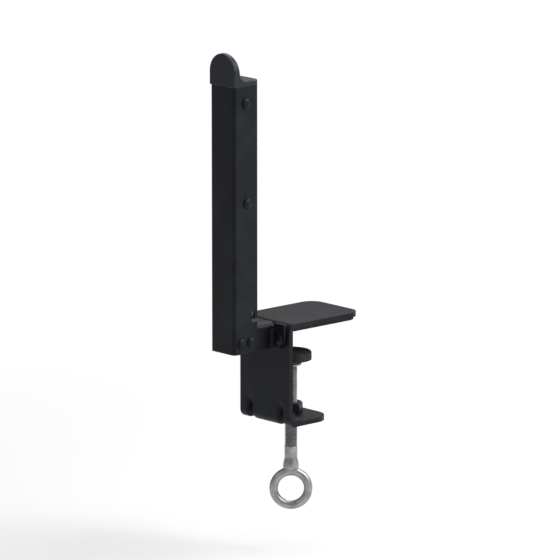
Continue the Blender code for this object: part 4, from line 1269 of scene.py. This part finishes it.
spacer_low, spacer_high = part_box("wheel_spacer")
spacer_profile = ring_profile(spacer_high.x, TENSION_HOLE, spacer_low.z, spacer_high.z)
wheel_spacer = turn("chamfered_wheel_spacer", spacer_profile, (0, tension_y, 0))
soften(wheel_spacer, SPACER_EDGE, segments=2)
finish(wheel_spacer, "tensioner", zinc_plate, "wheel_spacer")

# %% [markdown]
# ## Thumbwheel
# The wheel is turned smooth, with many points round its rim, and its ribs are then pressed in by a
# cosine of the angle. A row of small cutters would only imitate the ribs in facets.

# %% Mould the thumbwheel
WHEEL_RIBS = 20
POINTS_A_RIB = 12
RIB_DEPTH = 0.8 * MM
WHEEL_SLOPE = 1.2 * MM
SLOPE_STEPS = 4
WHEEL_EDGE = 0.15 * MM
WEB_DISH = 0.9 * MM
HUB_WALL, HUB_FOOT = 1.3 * MM, 1.6 * MM
RIM_WALL, RIM_FOOT = 2.3 * MM, 2.7 * MM

rim, wheel_top = wheel_high.x, wheel_high.z
slope = [(rim - WHEEL_SLOPE * (1 - share), wheel_top - WHEEL_SLOPE * share)
         for share in (step / SLOPE_STEPS for step in range(SLOPE_STEPS + 1))]
upper = [(TENSION_HOLE, wheel_top), (TENSION_HOLE + HUB_WALL, wheel_top),
         (TENSION_HOLE + HUB_FOOT, wheel_top - WEB_DISH), (rim - RIM_FOOT, wheel_top - WEB_DISH),
         (rim - RIM_WALL, wheel_top)] + slope
thumbwheel = turn("ribbed_thumbwheel", upper + mirrored(upper, wheel_low.z + wheel_top) + upper[:1],
                  segments=WHEEL_RIBS * POINTS_A_RIB)
for vert in thumbwheel.data.vertices:
    radius = math.hypot(vert.co.x, vert.co.y)
    wave = (1 - math.cos(WHEEL_RIBS * math.atan2(vert.co.y, vert.co.x))) / 2
    shrink = min(1, (rim - RIB_DEPTH * wave) / radius)
    vert.co.x, vert.co.y = vert.co.x * shrink, vert.co.y * shrink
place_piece(thumbwheel, (0, tension_y, 0))
soften(thumbwheel, WHEEL_EDGE, segments=2, angle=50)
finish(thumbwheel, "tensioner", moulding, "thumbwheel")

# %% [markdown]
# ## Slider
# The slider is cast zinc. A casting has rounded edges and a shallow panel, which keeps its walls
# even. The panel is the front face, inset and pushed in. A box could cut it too, but an inset
# keeps the same rim all round whatever the block's size.

# %% Cast the slider
CAST_EDGE = 0.9 * MM
CAST_CHAMFER = 0.5 * MM
PANEL_RIM = 2.2 * MM
PANEL_DEPTH = 0.5 * MM
HOOK_HOLE = 1.4 * MM
FLAT = 0.999

slider_low, slider_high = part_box("cord_slider")
hook_low, hook_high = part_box("cord_hook")
hook_y = middle_of("cord_hook").y
hook_wire = (hook_high.y - hook_low.y) / 2
leg_x = hook_high.x - hook_wire
cord_slider = start_block("cast_cord_slider", slider_low, slider_high)
soften(cord_slider, CAST_EDGE, segments=4, angle=60)
with editing(cord_slider):
    pick("FACE", lambda at, facing: facing.y > FLAT and near(at.y, slider_high.y, 2 * MERGE_BELOW))
    bpy.ops.mesh.inset(thickness=PANEL_RIM, depth=0)
    bpy.ops.mesh.inset(thickness=PANEL_DEPTH, depth=-PANEL_DEPTH)
sunk = TENSION_HOLE + CAST_CHAMFER
bore = [(sunk + PAST, slider_low.z - PAST), (TENSION_HOLE, slider_low.z + CAST_CHAMFER),
        (TENSION_HOLE, slider_high.z - CAST_CHAMFER), (sunk + PAST, slider_high.z + PAST)]
combine(cord_slider, turn("slider_bore", bore, (0, tension_y, 0)))
slider_height = slider_high.z - slider_low.z
drill(cord_slider, (leg_x, hook_y, middle_of("cord_slider").z), "Z", HOOK_HOLE, slider_height + PAST)
finish(cord_slider, "slider", zinc_plate, "cord_slider")

# %% [markdown]
# ## Hook
# The upper cord's loop hangs in this hook. It is wire: a round section is extruded upwards, spun
# through half a turn and extruded down again, in the order in which the wire is bent. A curve with
# a bevel would give the same wire, but its tip couldn't be rounded off with two more extrusions.

# %% Bend the hook
WIRE_SIDES = 20
WIRE_EDGE = 0.1 * MM
HOOK_SEAT = 0.4 * MM
HOOK_TIP = 3 * MM
HOOK_STEPS = 28
TIP_STEPS = ((0.18 * MM, 0.92), (0.22 * MM, 0.55))

crook_z = hook_high.z - hook_wire - leg_x
cord_hook = start("bent_cord_hook", bpy.ops.mesh.primitive_circle_add, vertices=WIRE_SIDES,
                  radius=hook_wire, fill_type="NGON", location=(leg_x, hook_y, hook_low.z + HOOK_SEAT))
with editing(cord_hook):
    bpy.ops.mesh.select_all(action="SELECT")
    extrude(z=crook_z - hook_low.z - HOOK_SEAT)
    spin(-math.pi, (0, hook_y, crook_z), (0, 1, 0), HOOK_STEPS)
    extrude(z=HOOK_SEAT - HOOK_TIP)
    for sink, share in TIP_STEPS:
        extrude(z=-sink)
        bpy.ops.transform.resize(value=(share, share, 1))
soften(cord_hook, WIRE_EDGE, segments=2)
finish(cord_hook, "slider", zinc_plate, "cord_hook")

# %% [markdown]
# ## Clamp screw
# The clamp screw is a threaded rod with a forged ring. The spigot at its top goes through the disc,
# and its end is peened over like a rivet. Thread, spigot and plain shank are made apart and joined
# by Booleans, because only the thread needs a spiral mesh.

# %% Make the threaded rod and its spigot
SHANK_RADIUS = 4 * MM
SPIGOT_RADIUS = 2.5 * MM
PEEN_RADIUS = 3.8 * MM
PEEN_EDGE = 0.3 * MM
PEEN_STEPS = ((0.97, 0.75 * MM), (0.85, 1.2 * MM))
THREAD_LENGTH = 52 * MM
FORGED_NECK = 7.5 * MM
SHANK_OVERLAP = 3 * MM
DISC_STEEL = 1.6 * MM
RING_WIRE = 2.75 * MM
RING_RADIUS = 10.75 * MM

rod_low, rod_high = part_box("clamp_screw")
washer_low, washer_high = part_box("spigot_washer")
hub_top = washer_high.z + SEAT_GAP + DISC_STEEL
shoulder = washer_low.z - SEAT_GAP
thread_foot = shoulder - THREAD_LENGTH
ring_z = rod_low.z + RING_WIRE + RING_RADIUS
ring_top = ring_z + RING_WIRE + RING_RADIUS
neck_top = ring_top + FORGED_NECK

clamp_screw = thread("threaded_clamp_screw", M8_ROOT, M8_CREST, M8_PITCH, thread_foot, shoulder, TIP_CHAMFER)
peen_foot = hub_top + SEAT_GAP
peen = [(SPIGOT_RADIUS, shoulder - MM), (SPIGOT_RADIUS, peen_foot), (PEEN_RADIUS - PEEN_EDGE, peen_foot),
        (PEEN_RADIUS, peen_foot + PEEN_EDGE)]
peen += [(PEEN_RADIUS * share, peen_foot + rise) for share, rise in PEEN_STEPS]
peen += [(PEEN_RADIUS * 0.6, rod_high.z - 0.1 * MM), (PEEN_RADIUS * 0.3, rod_high.z)]
combine(clamp_screw, turn("peened_spigot", peen), "UNION")
shank = [(M8_ROOT - 0.2 * MM, thread_foot + 1.5 * MM), (SHANK_RADIUS, thread_foot + 0.5 * MM),
         (SHANK_RADIUS, neck_top - SHANK_OVERLAP), (SHANK_RADIUS / 2, neck_top - SHANK_OVERLAP - MM)]
combine(clamp_screw, turn("plain_shank", shank), "UNION")
rod_zinc = threaded_zinc("clamp_screw_zinc", 0, M8_ROOT, M8_CREST, thread_foot + MM)
finish(clamp_screw, "ring_screw", rod_zinc, "clamp_screw")

# %% [markdown]
# A forging flows from the rod into the ring without any edge. A bevel can't blend two round forms
# that meet at a slant, so the ring and its neck are joined, remeshed into small even faces and
# smoothed.

# %% Forge the ring
FLARE = 1 * MM
FORGED_GRAIN = 0.28 * MM
SMOOTHINGS = 40
RING_TURN = math.radians(48)

forged_ring = start("forged_screw_ring", bpy.ops.mesh.primitive_torus_add, major_radius=RING_RADIUS,
                    minor_radius=RING_WIRE, major_segments=120, minor_segments=40, location=(0, 0, ring_z),
                    rotation=(QUARTER, 0, RING_TURN))
collar = SHANK_RADIUS + FLARE
forged_neck = [(SHANK_RADIUS - 0.35 * MM, neck_top + MM), (SHANK_RADIUS, neck_top - MM),
               (SHANK_RADIUS + FLARE / 4, ring_top + 5 * MM), (collar - FLARE * 0.3, ring_top + 3.4 * MM),
               (collar, ring_top + 1.5 * MM), (collar, ring_top), (collar - FLARE / 2, ring_top - MM),
               (RING_WIRE, ring_top - RING_WIRE)]
combine(forged_ring, turn("forged_neck", forged_neck), "UNION")
apply_modifier(forged_ring, "REMESH", mode="VOXEL", voxel_size=FORGED_GRAIN)
apply_modifier(forged_ring, "SMOOTH", factor=0.5, iterations=SMOOTHINGS)
finish(forged_ring, "ring_screw", zinc_plate, "clamp_screw")

# %% [markdown]
# ## Disc and washer
# The dished disc stays still against the board while the screw turns in it, and the washer keeps
# the two from grinding on each other. A turned outline gives the dish its slope and its even wall
# at once, where a bent flat disc would first have to be given a thickness.

# %% Turn the disc and the washer
SPIGOT_HOLE = 2.8 * MM
WELL_RADIUS = 5 * MM
DISC_EDGE = 0.35 * MM
WASHER_EDGE = 0.15 * MM

disc_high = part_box("swivel_disc")[1]
rim_top = disc_high.z
dish_foot = WELL_RADIUS + rim_top - hub_top
disc_profile = [(disc_high.x, rim_top - DISC_STEEL), (disc_high.x, rim_top), (dish_foot, rim_top),
                (WELL_RADIUS, hub_top), (SPIGOT_HOLE, hub_top), (SPIGOT_HOLE, hub_top - DISC_STEEL),
                (WELL_RADIUS + DISC_STEEL / 2, hub_top - DISC_STEEL),
                (dish_foot - DISC_STEEL / 4, rim_top - DISC_STEEL), (disc_high.x, rim_top - DISC_STEEL)]
swivel_disc = turn("dished_swivel_disc", disc_profile, segments=FINE_STEPS)
soften(swivel_disc, DISC_EDGE, angle=30)
finish(swivel_disc, "pressure_pad", zinc_plate, "swivel_disc")

washer_profile = ring_profile(washer_high.x, SPIGOT_HOLE, washer_low.z, washer_high.z)
washer = turn("flat_spigot_washer", washer_profile)
soften(washer, WASHER_EDGE, segments=2)
finish(washer, "pressure_pad", zinc_plate, "spigot_washer")

# %% [markdown]
# ## Rubber cap
# A rubber cap is stretched over the disc, and its lip holds it there. Its grip rings are computed,
# because a turned profile can hold any pattern that repeats along the radius. Rings that are cut
# one by one would come out the same, with a Boolean for each.

# %% Mould the rubber cap
CAP_SKIN = 2.2 * MM
CAP_EDGE = 1 * MM
CAP_CENTRE = 0.8 * MM
CAP_LIP = 0.8 * MM
LIP_REACH = 1 * MM
LIP_EDGE = 0.12 * MM
ARC_STEPS = 4
RING_PITCH = 2 * MM
RING_GROOVE = 0.4 * MM
RING_HALF, RING_FLOOR = 0.45 * MM, 0.25 * MM

rubber_low, rubber_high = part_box("disc_cap")
outer, inner = rubber_high.x, disc_high.x + SEAT_GAP
top, lip_top = rubber_high.z, rubber_low.z + CAP_LIP
grip = []
for ring in range(1, int((outer - 2 * CAP_EDGE) / RING_PITCH) + 1):
    at = ring * RING_PITCH
    grip += [(at - RING_HALF, top), (at - RING_FLOOR, top - RING_GROOVE),
             (at + RING_FLOOR, top - RING_GROOVE), (at + RING_HALF, top)]
edge_arc = [(outer - CAP_EDGE * (1 - math.sin(a)), top - CAP_EDGE * (1 - math.cos(a)))
            for a in (QUARTER * step / ARC_STEPS for step in range(ARC_STEPS + 1))]
skirt = [(outer, rubber_low.z), (inner - LIP_REACH, rubber_low.z), (inner - LIP_REACH, lip_top),
         (inner, lip_top), (inner, top - CAP_SKIN), (CAP_CENTRE, top - CAP_SKIN)]
disc_cap = turn("ringed_disc_cap", [(CAP_CENTRE, top)] + grip + edge_arc + skirt, segments=FINE_STEPS)
soften(disc_cap, LIP_EDGE, segments=2, angle=50)
finish(disc_cap, "pressure_pad", rubber, "disc_cap")
